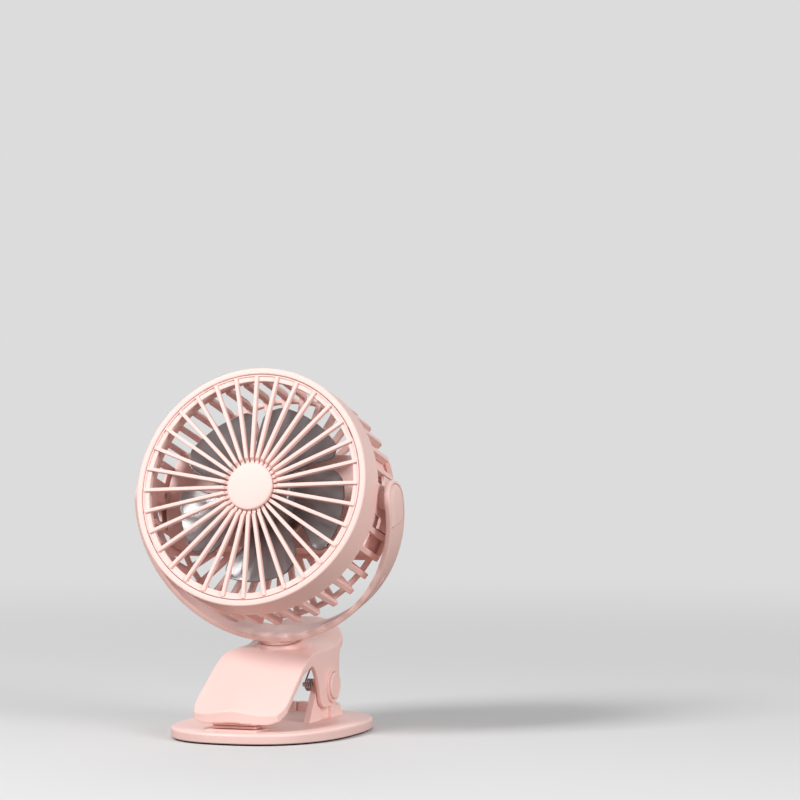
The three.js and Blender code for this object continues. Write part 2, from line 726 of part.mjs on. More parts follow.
// A curved plate that follows the yoke, between two radii, with its pill-shaped outline.
function pillPlate(side, inner, outer, halfWidth, down) {
  const reach = 2 * endCapSeam / yokeRadius;
  const middle = side * (Math.PI / 2);
  const sector = ringSector(inner, outer, middle - reach, middle + reach);
  const plate = solidOf(alongY(sector, -yokeWidth, yokeWidth, { curveSegments: 4 }));
  const ends = [side * inner * Math.cos(reach), side * (outer + overrun)].sort((a, b) => a - b);
  const pill = alongX(pillOutline(halfWidth, down), ends[0], ends[1], { curveSegments: 8 });
  return plate.translate([0, 0, yokeRadius]).intersect(solidOf(pill));
}

function yokeSlot(side) {
  const round = (slotWidth / 2) / yokeRadius;
  const inner = yokeRadius - yokeThickness - overrun;
  const outer = yokeRadius + overrun;
  const angles = [side * (slotStart + round), side * (slotEnd - round)].sort((a, b) => a - b);
  const sector = ringSector(inner, outer, angles[0], angles[1]);
  const middle = alongY(sector, -slotWidth / 2, slotWidth / 2, { curveSegments: 3 });
  const pieces = [solidOf(middle)];
  for (const angle of angles) {
    const end = rod('z', slotWidth / 2, -outer, -inner, 8);
    pieces.push(solidOf(end.rotateY(-angle)));
  }
  return joined(pieces).translate([0, 0, yokeRadius]);
}

function yoke() {
  const reach = Math.PI / 2 + (1.3 * yokeWidth) / yokeRadius;
  const sector = ringSector(yokeRadius - yokeThickness + yokeBevel, yokeRadius - yokeBevel,
    -reach, reach);
  const bevels = { bevelEnabled: true, bevelThickness: yokeBevel, bevelSize: yokeBevel };
  const half = yokeWidth / 2;
  const band = solidOf(alongY(sector, yokeBevel - half, half - yokeBevel,
    { ...bevels, bevelSegments: 1, curveSegments: 16 })).translate([0, 0, yokeRadius]);
  const length = tiltHeight + yokeWidth;
  const side = solidOf(alongX(pillOutline(half, length), -yokeRadius - overrun,
    yokeRadius + overrun, { curveSegments: 10 }));
  const footTop = yokeThickness / 2;
  const foot = solidOf(rod('z', yokeFootRadius, -yokeFootHeight, footTop, 28));
  const stem = solidOf(rod('z', stemRadius, -stemLength, footTop, 20));
  const cuts = [solidOf(rod('z', screwShankRadius + clearance, -stemLength - overrun,
    -yokeFootHeight))];
  for (const [, direction] of sides) {
    cuts.push(yokeSlot(direction));
    const recess = yokeRadius - endCapThickness + endCapProud - clearance;
    cuts.push(pillPlate(direction, recess, yokeRadius + overrun, endCapHalfWidth + clearance,
      endCapSeam + clearance));
    const seat = [direction * (recess - screwSeatDepth), direction * (yokeRadius + overrun)];
    seat.sort((a, b) => a - b);
    cuts.push(solidOf(rod('x', screwSeatRadius, seat[0], seat[1]).translate(0, 0, tiltHeight)));
    const bore = [direction * (yokeRadius / 2), direction * (yokeRadius + overrun)];
    bore.sort((a, b) => a - b);
    const hole = rod('x', shoulderRadius + clearance, bore[0], bore[1]);
    cuts.push(solidOf(hole.translate(0, 0, tiltHeight)));
  }
  return cutBy(joined([band.intersect(side), foot, stem]), cuts);
}

place(yokeGroup, 'yoke', yoke(), plastic(pinkAbs));

for (const [name, side] of sides) {
  const outer = yokeRadius + endCapProud;
  const cap = pillPlate(side, outer - endCapThickness, outer, endCapHalfWidth, endCapSeam);
  place(yokeGroup, `yoke_end_cap_${name}`, cap, plastic(pinkAbs));
}

const swivelWasherThickness = 1;
const swivelHeadRadius = 6.6;
const swivelHeadThickness = 1.8;
const underArm = -swivelSeat - clearance;
const swivelHeadTop = underArm - swivelWasherThickness - clearance;

const swivelWasher = ring('z', stemRadius + clearance, swivelWasherRadius,
  underArm - swivelWasherThickness, underArm);
place(yokeGroup, 'swivel_washer', swivelWasher, metal(steel));

const swivelScrew = turnedAbout('z', [[0, swivelHeadTop - swivelHeadThickness],
  [swivelHeadRadius - clearance, swivelHeadTop - swivelHeadThickness],
  [swivelHeadRadius, swivelHeadTop - clearance], [swivelHeadRadius, swivelHeadTop],
  [screwShankRadius, swivelHeadTop], [screwShankRadius, -yokeFootHeight - clearance],
  [0, -yokeFootHeight - clearance]], 16);
place(yokeGroup, 'swivel_screw', swivelScrew, metal(steel));

// Head, drawn about its own axis: the front looks along -Y and the tilt axis is X

headGroup.position.set(0, 0, tiltHeight);
headGroup.rotation.set(-tiltAngle, 0, 0);

const bandSegments = 48; // facets round the head
const basketSegments = 36; // one facet for every bar of the basket
const rimWidth = 3.6; // the front ring, from its outer edge to the groove round the grille
const rimFillet = 0.7;
const seatWidth = 2.7; // the ledge that carries the grille
const seatDepth = 4.7; // behind the face of the ring
const seatThickness = 1.6;
const grooveRadius = frontRadius - rimWidth;
const seatRadius = grooveRadius - seatWidth;
const bandInner = bodyRadius - 1.2 * wall;

// The solid front band, with the ring at its front and the ledge inside.
function frontBand() {
  const face = -frontReach;
  const rear = -bandReach;
  return turned([
    [grooveRadius, face + seatDepth], [grooveRadius, face + rimFillet],
    [grooveRadius + rimFillet, face], [frontRadius - rimFillet, face],
    [frontRadius, face + rimFillet], [bodyRadius, rear], [bandInner, rear],
    [bandInner, face + seatDepth + seatThickness], [seatRadius, face + seatDepth + seatThickness],
    [seatRadius, face + seatDepth],
  ], bandSegments);
}

const basketInset = 0.6; // the basket lies this far inside the band
const basketRadius = bodyRadius - basketInset;
const basketBarWidth = 3.3;
const basketBarDepth = 4;
const rearBarDepth = 3.2;
const basketCorner = 3.6;
const innerCorner = 1.4;
const cornerRingWidth = 3;
const cornerRingThickness = 2.8;

// The outer shape of the head behind the band, which rounds the corners of all its walls.
function basketEnvelope() {
  const toCorner = 1 / Math.cos(Math.PI / basketSegments);
  const round = basketCorner * (1 - Math.SQRT1_2);
  return turned([
    [0, -bandReach - overrun], [basketRadius * toCorner, -bandReach - overrun],
    [basketRadius * toCorner, rearReach - basketCorner],
    [(basketRadius - round) * toCorner, rearReach - round],
    [(basketRadius - basketCorner) * toCorner, rearReach], [0, rearReach],
  ], basketSegments);
}

// One bar of the basket, along the side, round the corner and in across the back.
function basketBar(angle) {
  const [sine, cosine] = [Math.abs(Math.sin(angle)), Math.abs(Math.cos(angle))];
  const inner = (chamberHalfHeight + (basketBarWidth / 2) * cosine) / sine;
  const [side, rear] = [basketRadius - basketBarDepth, rearReach - rearBarDepth];
  const root = -bandReach - rimFillet;
  const points = [[side, root], [basketRadius + overrun, root],
    [basketRadius + overrun, rearReach + overrun]];
  if (inner < side - innerCorner)
    points.push([inner, rearReach + overrun], [inner, rear], [side - innerCorner, rear],
      [side, rear - innerCorner]);
  else
    points.push([side, rearReach + overrun]);
  const bar = extruded(outline(points), basketBarWidth);
  return solidOf(bar.translate(0, 0, -basketBarWidth / 2).rotateY(-angle));
}

const sidePanelThickness = 2;
const panelThickness = 2;
const panelFront = rearReach - panelThickness;
const pivotBossRadius = 5;
const pivotBossReach = bodyRadius + 2;
const coverScrewX = 37;
const coverBossRadius = 3.6;
const coverScrewRadius = 1.2;
const coverThickness = 2;
const coverBack = chamberDepth + coverThickness;
const buttonRadius = 4.6;
const buttonZ = 10;
const lightRadius = 1.2;
const lightZ = 1;
const socketWidth = 9;
const socketHeight = 3.3;
const socketZ = -8;

function strip(halfHeight, radius) {
  const angle = Math.asin(halfHeight / radius);
  const shape = new THREE.Shape();
  shape.absarc(0, 0, radius, -angle, angle, false);
  shape.absarc(0, 0, radius, Math.PI - angle, Math.PI + angle, false);
  return shape;
}

function rearHousing() {
  const walls = [];
  for (let side = 0; side < 2; side += 1)
    for (let angle = basketEdge; angle < Math.PI - basketEdge / 2; angle += basketStep)
      walls.push(basketBar(angle + side * Math.PI));
  const corner = rearReach - rearBarDepth + clearance;
  const ringOuter = basketRadius - basketBarDepth;
  const cornerRing = solidOf(ring('y', ringOuter - cornerRingWidth, ringOuter, corner,
    corner + cornerRingThickness, basketSegments));
  const band = box(-bodyRadius, bodyRadius, 0, rearReach + overrun, -chamberHalfHeight,
    chamberHalfHeight);
  walls.push(cornerRing.subtract(solidOf(band)));
  for (const [, side] of sides) {
    const middle = side * (Math.PI / 2);
    const sector = ringSector(basketRadius - sidePanelThickness, basketRadius + overrun,
      middle - basketEdge, middle + basketEdge);
    walls.push(solidOf(alongY(sector, -bandReach - rimFillet, rearReach, { curveSegments: 1 })));
  }
  walls.push(solidOf(box(-bodyRadius, bodyRadius, panelFront, rearReach, -panelHalfHeight,
    panelHalfHeight)));
  const shell = joined(walls).intersect(solidOf(basketEnvelope()));
  const pieces = [solidOf(frontBand()), shell];
  const cuts = [];
  for (const [, side] of sides) {
    const boss = [side * (basketRadius - 3 * sidePanelThickness), side * pivotBossReach];
    boss.sort((a, b) => a - b);
    pieces.push(solidOf(rod('x', pivotBossRadius, boss[0], boss[1], 14)));
    const bore = [boss[0] - overrun, boss[1] + overrun];
    cuts.push(solidOf(rod('x', screwShankRadius + clearance, bore[0], bore[1], 12)));
    const post = rod('y', coverBossRadius, coverBack + clearance, panelFront + clearance, 12);
    pieces.push(solidOf(post.translate(side * coverScrewX, 0, 0)));
    const pilot = rod('y', coverScrewRadius + clearance, coverBack - overrun, panelFront, 8);
    cuts.push(solidOf(pilot.translate(side * coverScrewX, 0, 0)));
  }
  const through = [panelFront - overrun, rearReach + overrun];
  const button = rod('y', buttonRadius + clearance, ...through).translate(0, 0, buttonZ);
  const light = rod('y', lightRadius + clearance, ...through, 8).translate(0, 0, lightZ);
  const socketGap = clearance + socketHeight / 2;
  const socket = box(-socketWidth / 2 - clearance, socketWidth / 2 + clearance, ...through,
    socketZ - socketGap, socketZ + socketGap);
  cuts.push(solidOf(button), solidOf(light), solidOf(socket));
  return cutBy(joined(pieces), cuts);
}

place(headGroup, 'rear_housing', rearHousing(), plastic(pinkAbs));

// Front grille: a snap-in insert with straight radial bars, and its round cap

const barWidth = 1.9;
const barDepth = 3.4;
const barProud = 0.3; // the bars stand this far in front of the ring
const grilleFlangeWidth = 3.6;
const grilleFlangeInner = grooveRadius - clearance - grilleFlangeWidth;
const grilleRimWidth = 0.9;
const flangeRecess = 0.9; // the flange lies this far behind the ring
const barOverlap = 2.3; // the bars end this far out on the flange
const hubPlateRadius = 12;
const hubPlateThickness = 1.8;
const capStep = 3; // the bars step back this far outside the cap
const capStepDepth = 1.5;
const capProudOfRing = 1;
const capThickness = 2.2;
const capCrown = 0.3;
const barTurn = 3 * degree; // in the photograph no bar lies quite on the tilt axis

function grilleBar(index) {
  const face = -frontReach - barProud;
  const outer = grilleFlangeInner + barOverlap;
  const bar = extruded(outline([
    [hubPlateRadius - barWidth / 2, face + capStepDepth],
    [capRadius + capStep / 2, face + capStepDepth],
    [capRadius + capStep, face], [outer, face], [outer, face + flangeRecess + barWidth],
    [hubPlateRadius - barWidth / 2, face + barDepth],
  ]), barWidth);
  const angle = (index * 2 * Math.PI) / barCount + barTurn;
  return solidOf(bar.translate(0, 0, -barWidth / 2).rotateY(-angle));
}

const gripperSlitLength = 7; // the four snap hooks show as short slits in the groove
const gripperSlitWidth = 0.8;
const gripperAngle = 40 * degree;

function frontGrille() {
  const face = -frontReach;
  const outer = grooveRadius - clearance;
  const flange = turned([
    [grilleFlangeInner, face + flangeRecess], [outer - grilleRimWidth, face + flangeRecess],
    [outer - grilleRimWidth, face + clearance], [outer, face + clearance],
    [outer, face + seatDepth - clearance], [grilleFlangeInner, face + seatDepth - clearance],
  ], bandSegments);
  const hubBack = face - barProud + barDepth;
  const hub = rod('y', hubPlateRadius, hubBack - hubPlateThickness, hubBack, 32);
  const pieces = [solidOf(flange), solidOf(hub)];
  for (let i = 0; i < barCount; i += 1) pieces.push(grilleBar(i));
  const slits = [0, 1, 2, 3].map((quarter) => {
    const slit = box(outer - gripperSlitWidth, outer + overrun, face - overrun, face + flangeRecess,
      -gripperSlitLength / 2, gripperSlitLength / 2);
    return solidOf(slit.rotateY(-gripperAngle - (quarter * Math.PI) / 2));
  });
  return cutBy(joined(pieces), slits);
}

place(headGroup, 'front_grille', frontGrille(), plastic(pinkAbs));

const capBack = -frontReach - capProudOfRing + capThickness;
const capFront = -frontReach - capProudOfRing;
const hubPlateFront = -frontReach - barProud + barDepth - hubPlateThickness;
const centreCap = turned([
  [0, capFront], [capRadius - capCrown * 3, capFront + capCrown], [capRadius, capFront + 2 * capCrown],
  [capRadius, capBack - clearance], [capRadius - capProudOfRing, capBack - clearance],
  [capRadius - capProudOfRing, -frontReach - barProud + capStepDepth - clearance],
  [0, -frontReach - barProud + capStepDepth - clearance],
], 32);
place(headGroup, 'centre_cap', centreCap, plastic(pinkAbs));

// Chamber cover: the front wall of the closed band, with a round pocket for the motor

const coverHalfHeight = chamberHalfHeight - clearance;
const coverRadius = basketRadius - basketBarDepth - clearance;
const pocketWall = 1.4;
const pocketRoom = 14.2; // from the floor of the motor's pocket back to the rear face
const pocketFloor = rearReach - pocketRoom;
const bearingTubeOuter = 4.4;
const bearingTubeFront = -9;
const shaftRadius = 1.5;
const bearingOuter = 3.2;
const bearingLength = 4;

function chamberCover() {
  const back = panelFront - clearance;
  const shell = solidOf(alongY(strip(coverHalfHeight, coverRadius), chamberDepth, back,
    { curveSegments: 3 }));
  const hollow = solidOf(alongY(strip(coverHalfHeight - coverThickness,
    coverRadius - coverThickness), coverBack, back + overrun, { curveSegments: 3 }));
  const pocket = solidOf(rod('y', motorPocketRadius + pocketWall, chamberDepth - pocketWall,
    pocketFloor + pocketWall, 32));
  const pocketCut = solidOf(rod('y', motorPocketRadius, chamberDepth - overrun, pocketFloor, 32));
  const tube = solidOf(rod('y', bearingTubeOuter, bearingTubeFront, pocketFloor + pocketWall));
  const tubeBore = solidOf(rod('y', bearingOuter + clearance / 2, bearingTubeFront - overrun,
    pocketFloor + pocketWall / 2));
  const cuts = [];
  const pieces = [];
  for (const [, side] of sides) {
    const boss = rod('y', coverBossRadius + pocketWall, chamberDepth - pocketWall / 2, coverBack, 14);
    pieces.push(solidOf(boss.translate(side * coverScrewX, 0, 0)));
    const hole = rod('y', coverScrewRadius + clearance, chamberDepth - overrun,
      coverBack + overrun, 8);
    cuts.push(solidOf(hole.translate(side * coverScrewX, 0, 0)));
    const seat = rod('y', coverBossRadius, chamberDepth - overrun, chamberDepth + clearance, 14);
    cuts.push(solidOf(seat.translate(side * coverScrewX, 0, 0)));
    const notch = [side * (basketRadius - 4 * sidePanelThickness), side * basketRadius];
    notch.sort((a, b) => a - b);
    cuts.push(solidOf(rod('x', pivotBossRadius + clearance, notch[0], notch[1], 14)));
  }
  const open = cutBy(shell.subtract(hollow).add(pocket), [pocketCut]);
  return cutBy(joined([open, tube, ...pieces]), [tubeBore, ...cuts]);
}

place(headGroup, 'chamber_cover', chamberCover(), plastic(pinkAbs));

const coverHeadRadius = 2.4;
const coverHeadThickness = 1.3;

for (const [name, side] of sides) {
  const seat = chamberDepth;
  const end = panelFront - coverBossRadius;
  const screw = turned([[0, seat - coverHeadThickness],
    [coverHeadRadius - clearance, seat - coverHeadThickness], [coverHeadRadius, seat - clearance],
    [coverHeadRadius, seat], [coverScrewRadius, seat], [coverScrewRadius, end], [0, end]], 12);
  screw.translate(side * coverScrewX, 0, 0);
  place(headGroup, `cover_screw_${name}`, screw, metal(steel));
}

// Tilt joints: a soft ring between head and yoke on each side, and a shoulder screw through both

const frictionRingRadius = 6.2;

for (const [name, side] of sides) {
  const yokeInner = yokeRadius - yokeThickness;
  const drop = yokeRadius - tiltHeight;
  const yokeFace = Math.sqrt(yokeInner ** 2 - (Math.abs(drop) + frictionRingRadius) ** 2);
  const soft = [side * (pivotBossReach + clearance), side * (yokeFace - clearance)];
  soft.sort((a, b) => a - b);
  const softRing = ring('x', shoulderRadius + clearance, frictionRingRadius, soft[0], soft[1]);
  place(headGroup, `friction_ring_${name}`, softRing, plastic(blackRubber, 0.8));
  const recess = yokeRadius - endCapThickness + endCapProud - clearance;
  const headInner = Math.sqrt(recess ** 2 - (Math.abs(drop)) ** 2) - screwSeatDepth + clearance;
  const headOuter = headInner + screwSeatDepth - 2 * clearance;
  const tip = basketRadius - 2.6 * sidePanelThickness;
  const screw = turnedAbout('x', [[0, side * tip], [screwShankRadius, side * tip],
    [screwShankRadius, side * headInner], [screwSeatRadius - clearance, side * headInner],
    [screwSeatRadius - clearance, side * headOuter], [0, side * headOuter]], 16);
  place(headGroup, `tilt_screw_${name}`, screw, metal(steel));
}

// Motor: a coil star fixed in the pocket, and a hub that carries the blades round it

const statorFront = -8.4;
const statorBack = 2.6;
const statorRadius = 15;
const statorYokeRadius = 7;
const poleCount = 9;
const poleWidth = 3;
const poleShoeDepth = 1.6;
const poleShoeWidth = 7.6;
const hubFront = -17;
const hubBack = 3.6;
const hubWall = 1.5;
const magnetThickness = 1.4;
const magnetFront = -10;

function stator() {
  const core = ring('y', bearingTubeOuter + clearance, statorYokeRadius, statorFront, statorBack, 18);
  const pieces = [solidOf(core)];
  for (let i = 0; i < poleCount; i += 1) {
    const angle = (i * 2 * Math.PI) / poleCount;
    const pole = box(statorYokeRadius - overrun / 2, statorRadius - poleShoeDepth / 2,
      statorFront, statorBack, -poleWidth / 2, poleWidth / 2);
    pieces.push(solidOf(pole.rotateY(angle)));
    const shoe = box(statorRadius - poleShoeDepth, statorRadius, statorFront, statorBack,
      -poleShoeWidth / 2, poleShoeWidth / 2);
    pieces.push(solidOf(shoe.rotateY(angle)));
  }
  return joined(pieces);
}

place(headGroup, 'motor_stator', stator(), metal('#8a5a3c', 0.5));

const magnetOuter = hubRadius - hubWall - clearance;
const magnets = ring('y', magnetOuter - magnetThickness, magnetOuter, magnetFront, hubBack - hubWall, 24);
place(rotorGroup, 'magnet_ring', magnets, metal('#3a3a3c', 0.5));

const shaftFront = hubFront + hubWall + clearance;
const shaftBack = pocketFloor + pocketWall / 2 - clearance;
place(rotorGroup, 'motor_shaft', rod('y', shaftRadius, shaftFront, shaftBack), metal(steel));

for (const [name, front] of [['front', bearingTubeFront + clearance],
  ['rear', pocketFloor - bearingLength - clearance]]) {
  const bearing = ring('y', shaftRadius + clearance / 2, bearingOuter, front, front + bearingLength, 16);
  place(headGroup, `shaft_bearing_${name}`, bearing, metal('#b08d57', 0.4));
}

// Rotor: five broad blades on a round hub

const bladeThickness = 1.3;
const bladeRootAngle = 58 * degree; // how far round a blade reaches at the hub
const bladeTipAngle = 64 * degree;
const bladeSweep = 14 * degree; // how far the tip leads the root
const bladeRootRise = 12; // front to back at the hub
const bladeTipRise = 9;
const bladeMiddle = -10.4;
const bladeCamber = 1.8;
const radialSteps = 5;
const chordSteps = 5;

// A point on the middle surface of a blade: out from the hub, and along the chord.
function bladePoint(out, along) {
  const radius = THREE.MathUtils.lerp(hubRadius - hubWall / 2, rotorRadius, out);
  const tipRound = Math.sqrt(Math.max(1 - Math.max(out - 0.72, 0) ** 2 / 0.28 ** 2 * 0.55, 0));
  const reach = THREE.MathUtils.lerp(bladeRootAngle, bladeTipAngle, out) * tipRound;
  const rise = THREE.MathUtils.lerp(bladeRootRise, bladeTipRise, out) * tipRound;
  const angle = bladeSweep * out + reach * (along - 0.5);
  const y = bladeMiddle + rise * (along - 0.5) + bladeCamber * (1 - (2 * along - 1) ** 2);
  return new THREE.Vector3(radius * Math.cos(angle), y, -radius * Math.sin(angle));
}

function blade() {
  const places = [];
  for (const face of [-1, 1])
    for (let i = 0; i <= radialSteps; i += 1)
      for (let j = 0; j <= chordSteps; j += 1) {
        const point = bladePoint(i / radialSteps, j / chordSteps);
        places.push(point.x, point.y + (face * bladeThickness) / 2, point.z);
      }
  const row = chordSteps + 1;
  const layer = (radialSteps + 1) * row;
  const corners = [];
  const quad = (a, b, c, d) => corners.push(a, b, c, a, c, d);
  for (let i = 0; i < radialSteps; i += 1)
    for (let j = 0; j < chordSteps; j += 1) {
      const at = i * row + j;
      quad(at, at + 1, at + row + 1, at + row);
      quad(layer + at, layer + at + row, layer + at + row + 1, layer + at + 1);
    }
  for (let j = 0; j < chordSteps; j += 1) {
    const last = radialSteps * row + j;
    quad(j, layer + j, layer + j + 1, j + 1);
    quad(last, last + 1, layer + last + 1, layer + last);
  }
  for (let i = 0; i < radialSteps; i += 1) {
    const first = i * row;
    const last = first + chordSteps;
    quad(first, first + row, layer + first + row, layer + first);
    quad(last, layer + last, layer + last + row, last + row);
  }
  const geometry = new THREE.BufferGeometry();
  geometry.setAttribute('position', new THREE.Float32BufferAttribute(places, 3));
  geometry.setIndex(corners);
  return geometry;
}

function rotor() {
  const hub = turned([
    [0, hubFront], [hubRadius - 3 * hubWall, hubFront], [hubRadius, hubFront + 2 * hubWall],
    [hubRadius, hubBack], [hubRadius - hubWall, hubBack],
    [hubRadius - hubWall, hubFront + 2.5 * hubWall], [hubRadius - 3 * hubWall, hubFront + hubWall],
    [0, hubFront + hubWall],
  ], 28);
  const pieces = [solidOf(hub)];
  for (let i = 0; i < bladeCount; i += 1)
    pieces.push(solidOf(blade().rotateY((i * 2 * Math.PI) / bladeCount)));
  return joined(pieces);
}

place(rotorGroup, 'fan_rotor', rotor(), plastic(smokedPlastic, 0.2));

// Electronics behind the motor: a flat cell, a board, and what it shows through the back

const cellWidth = 52;
const cellHeight = 38;
const cellFront = pocketFloor + pocketWall + clearance;
const cellThickness = 4.6;
const cellCorner = 2;
const boardWidth = 46;
const boardHeight = 34;
const boardThickness = 1.2;
const boardFront = cellFront + cellThickness + clearance;
const boardBack = boardFront + boardThickness;

function roundedPlate(width, height, corner) {
  const [x, z] = [width / 2, height / 2];
  const shape = new THREE.Shape();
  shape.moveTo(-x + corner, -z);
  shape.lineTo(x - corner, -z);
  shape.absarc(x - corner, -z + corner, corner, -Math.PI / 2, 0, false);
  shape.absarc(x - corner, z - corner, corner, 0, Math.PI / 2, false);
  shape.absarc(-x + corner, z - corner, corner, Math.PI / 2, Math.PI, false);
  shape.absarc(-x + corner, -z + corner, corner, Math.PI, 1.5 * Math.PI, false);
  return shape;
}

const cell = alongY(roundedPlate(cellWidth, cellHeight, cellCorner), cellFront,
  cellFront + cellThickness, { curveSegments: 1 });
place(headGroup, 'battery_cell', cell, plastic('#b9bcc2', 0.4));

const board = alongY(roundedPlate(boardWidth, boardHeight, cellCorner), boardFront, boardBack,
  { curveSegments: 1 });
place(headGroup, 'circuit_board', board, plastic('#1f5a38', 0.5));

const socketWall = 0.5;
const socketTongue = 0.7;

function socket() {
  const [x, z] = [socketWidth / 2, socketHeight / 2];
  const shell = solidOf(box(-x, x, boardBack + clearance, rearReach - clearance, -z, z));
  const mouth = solidOf(box(socketWall - x, x - socketWall, boardBack + 2 * clearance + socketWall,
    rearReach + overrun, socketWall - z, z - socketWall));
  const tongue = solidOf(box(-x / 2, x / 2, boardBack + clearance, rearReach - socketWall,
    -socketTongue / 2, socketTongue / 2));
  return shell.subtract(mouth).add(tongue).translate([0, 0, socketZ]);
}

place(headGroup, 'usb_socket', socket(), metal(steel));

const buttonTravel = 0.6;
const buttonFlange = 1;
const buttonProud = 0.8;
const buttonFlangeFront = boardBack + clearance + buttonTravel;
const powerButton = turned([
  [0, buttonFlangeFront], [buttonRadius + buttonFlange, buttonFlangeFront],
  [buttonRadius + buttonFlange, panelFront - clearance], [buttonRadius, panelFront - clearance],
  [buttonRadius, rearReach + buttonProud / 2], [buttonRadius - buttonProud, rearReach + buttonProud],
  [0, rearReach + buttonProud],
], 20);
place(headGroup, 'power_button', powerButton.translate(0, 0, buttonZ), plastic(pinkAbs));

const light = rod('y', lightRadius, boardBack + clearance, rearReach, 8).translate(0, 0, lightZ);
place(headGroup, 'light_pipe', light, plastic('#f4f4f0', 0.2));

export default fan;
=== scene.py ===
"""A small clip-on desk fan in pale pink plastic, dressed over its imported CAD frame."""
import math

import bmesh
import bpy
from mathutils import Matrix, Vector


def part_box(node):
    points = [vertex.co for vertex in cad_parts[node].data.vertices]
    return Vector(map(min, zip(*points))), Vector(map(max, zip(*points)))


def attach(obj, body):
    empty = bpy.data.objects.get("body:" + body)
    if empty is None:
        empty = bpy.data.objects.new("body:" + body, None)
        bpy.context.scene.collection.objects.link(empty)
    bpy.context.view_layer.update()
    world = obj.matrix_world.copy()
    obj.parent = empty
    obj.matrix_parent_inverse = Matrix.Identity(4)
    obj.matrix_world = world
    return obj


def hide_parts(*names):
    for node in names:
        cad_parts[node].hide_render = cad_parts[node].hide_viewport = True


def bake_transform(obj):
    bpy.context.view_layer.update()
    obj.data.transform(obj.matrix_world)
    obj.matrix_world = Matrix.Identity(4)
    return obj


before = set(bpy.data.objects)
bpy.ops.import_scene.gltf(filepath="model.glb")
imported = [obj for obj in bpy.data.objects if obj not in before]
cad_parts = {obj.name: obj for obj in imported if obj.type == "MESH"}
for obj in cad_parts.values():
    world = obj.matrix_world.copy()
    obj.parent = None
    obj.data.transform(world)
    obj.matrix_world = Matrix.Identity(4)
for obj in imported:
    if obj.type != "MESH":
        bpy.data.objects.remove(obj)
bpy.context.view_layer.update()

MM = 0.001
DEGREE = math.pi / 180
CLEARANCE = 0.3 * MM
OVERRUN = 2 * MM  # a cutter reaches this far beyond what it cuts
MERGE_DISTANCE = 0.002 * MM
SIDE_NAME = {-1: "left", 1: "right"}

# Sizes of the main forms

FOOT_THICKNESS = 0.8 * MM
BASE_LENGTH = 140.4 * MM
BASE_WIDTH = 99.9 * MM
BASE_TOP = 6.4 * MM
OVAL_FULLNESS = 2.45

LIP_WIDTH = 54.6 * MM
ARM_WIDTH = 52.6 * MM
EAR_OUTER = 26 * MM
EAR_INNER = 23.4 * MM
ARM_THICKNESS = 4 * MM
CLIP_PIVOT = Vector((0, 23.6 * MM, 25 * MM))
PIN_RADIUS = 1.3 * MM

SWIVEL = Vector((0, 10.7 * MM, 52.8 * MM))
SWIVEL_LEAN = 12.9 * DEGREE
YOKE_RADIUS = 76.3 * MM
YOKE_THICKNESS = 3.2 * MM
YOKE_WIDTH = 22.6 * MM
TILT_HEIGHT = 80 * MM
TILT_ANGLE = 29.7 * DEGREE

FRONT_RADIUS = 67.5 * MM
BODY_RADIUS = 68 * MM
FRONT_REACH = 27.8 * MM
BAND_REACH = 8.1 * MM
REAR_REACH = 23.6 * MM
BASKET_RADIUS = 67.4 * MM
PANEL_HALF_HEIGHT = 28.4 * MM
CAP_RADIUS = 13.3 * MM
HUB_RADIUS = 19.5 * MM
ROTOR_RADIUS = 49.5 * MM

YOKE_PLACE = Matrix.Translation(SWIVEL) @ Matrix.Rotation(SWIVEL_LEAN, 4, 'X')
HEAD_PLACE = (YOKE_PLACE @ Matrix.Translation((0, 0, TILT_HEIGHT))
              @ Matrix.Rotation(-TILT_ANGLE, 4, 'X'))

# Modelling


def only(piece):
    """Selects one piece and makes it the active one."""
    bpy.ops.object.select_all(action='DESELECT')
    piece.select_set(True)
    bpy.context.view_layer.objects.active = piece


def outline(points, filled=True):
    """A flat face with these corners, made from a disc with as many corners."""
    bpy.ops.object.select_all(action='DESELECT')
    bpy.ops.mesh.primitive_circle_add(vertices=len(points), radius=1,
                                      fill_type='NGON' if filled else 'NOTHING')
    piece = bpy.context.object
    for vertex, point in zip(piece.data.vertices, points):
        vertex.co = point
    return piece


def in_edit_mode(piece):
    only(piece)
    bpy.ops.object.mode_set(mode='EDIT')
    bpy.ops.mesh.select_all(action='SELECT')


def clean(piece):
    """Merges what meets, drops loose edges and turns every face outwards."""
    in_edit_mode(piece)
    bpy.ops.mesh.remove_doubles(threshold=MERGE_DISTANCE)
    bpy.ops.mesh.delete_loose()
    bpy.ops.mesh.select_all(action='SELECT')
    bpy.ops.mesh.normals_make_consistent(inside=False)
    bpy.ops.object.mode_set(mode='OBJECT')
    return piece


def extruded(points, way):
    """A closed solid: the outline pushed along a way."""
    piece = outline(points)
    in_edit_mode(piece)
    bpy.ops.mesh.extrude_region_move(TRANSFORM_OT_translate={"value": way})
    bpy.ops.object.mode_set(mode='OBJECT')
    return clean(piece)


def block(low, high):
    """A box between two opposite corners."""
    corners = [(low[0], low[1]), (high[0], low[1]), (high[0], high[1]), (low[0], high[1])]
    return extruded([(x, y, low[2]) for x, y in corners], (0, 0, high[2] - low[2]))


def spun(points, axis, steps, angle=2 * math.pi):
    """A closed solid spun about an axis, with end faces if it isn't a whole turn."""
    piece = outline(points, filled=angle < 2 * math.pi)
    in_edit_mode(piece)
    bpy.ops.mesh.spin(steps=steps, angle=angle, center=(0, 0, 0), axis=axis)
    bpy.ops.object.mode_set(mode='OBJECT')
    return clean(piece)


def revolved(profile, axis, steps):
    """A solid turned about an axis from a profile of (radius, place along the axis)."""
    if axis == 'x':
        return spun([(place, radius, 0) for radius, place in profile], (1, 0, 0), steps)
    if axis == 'y':
        return spun([(radius, place, 0) for radius, place in profile], (0, 1, 0), steps)
    return spun([(radius, 0, place) for radius, place in profile], (0, 0, 1), steps)


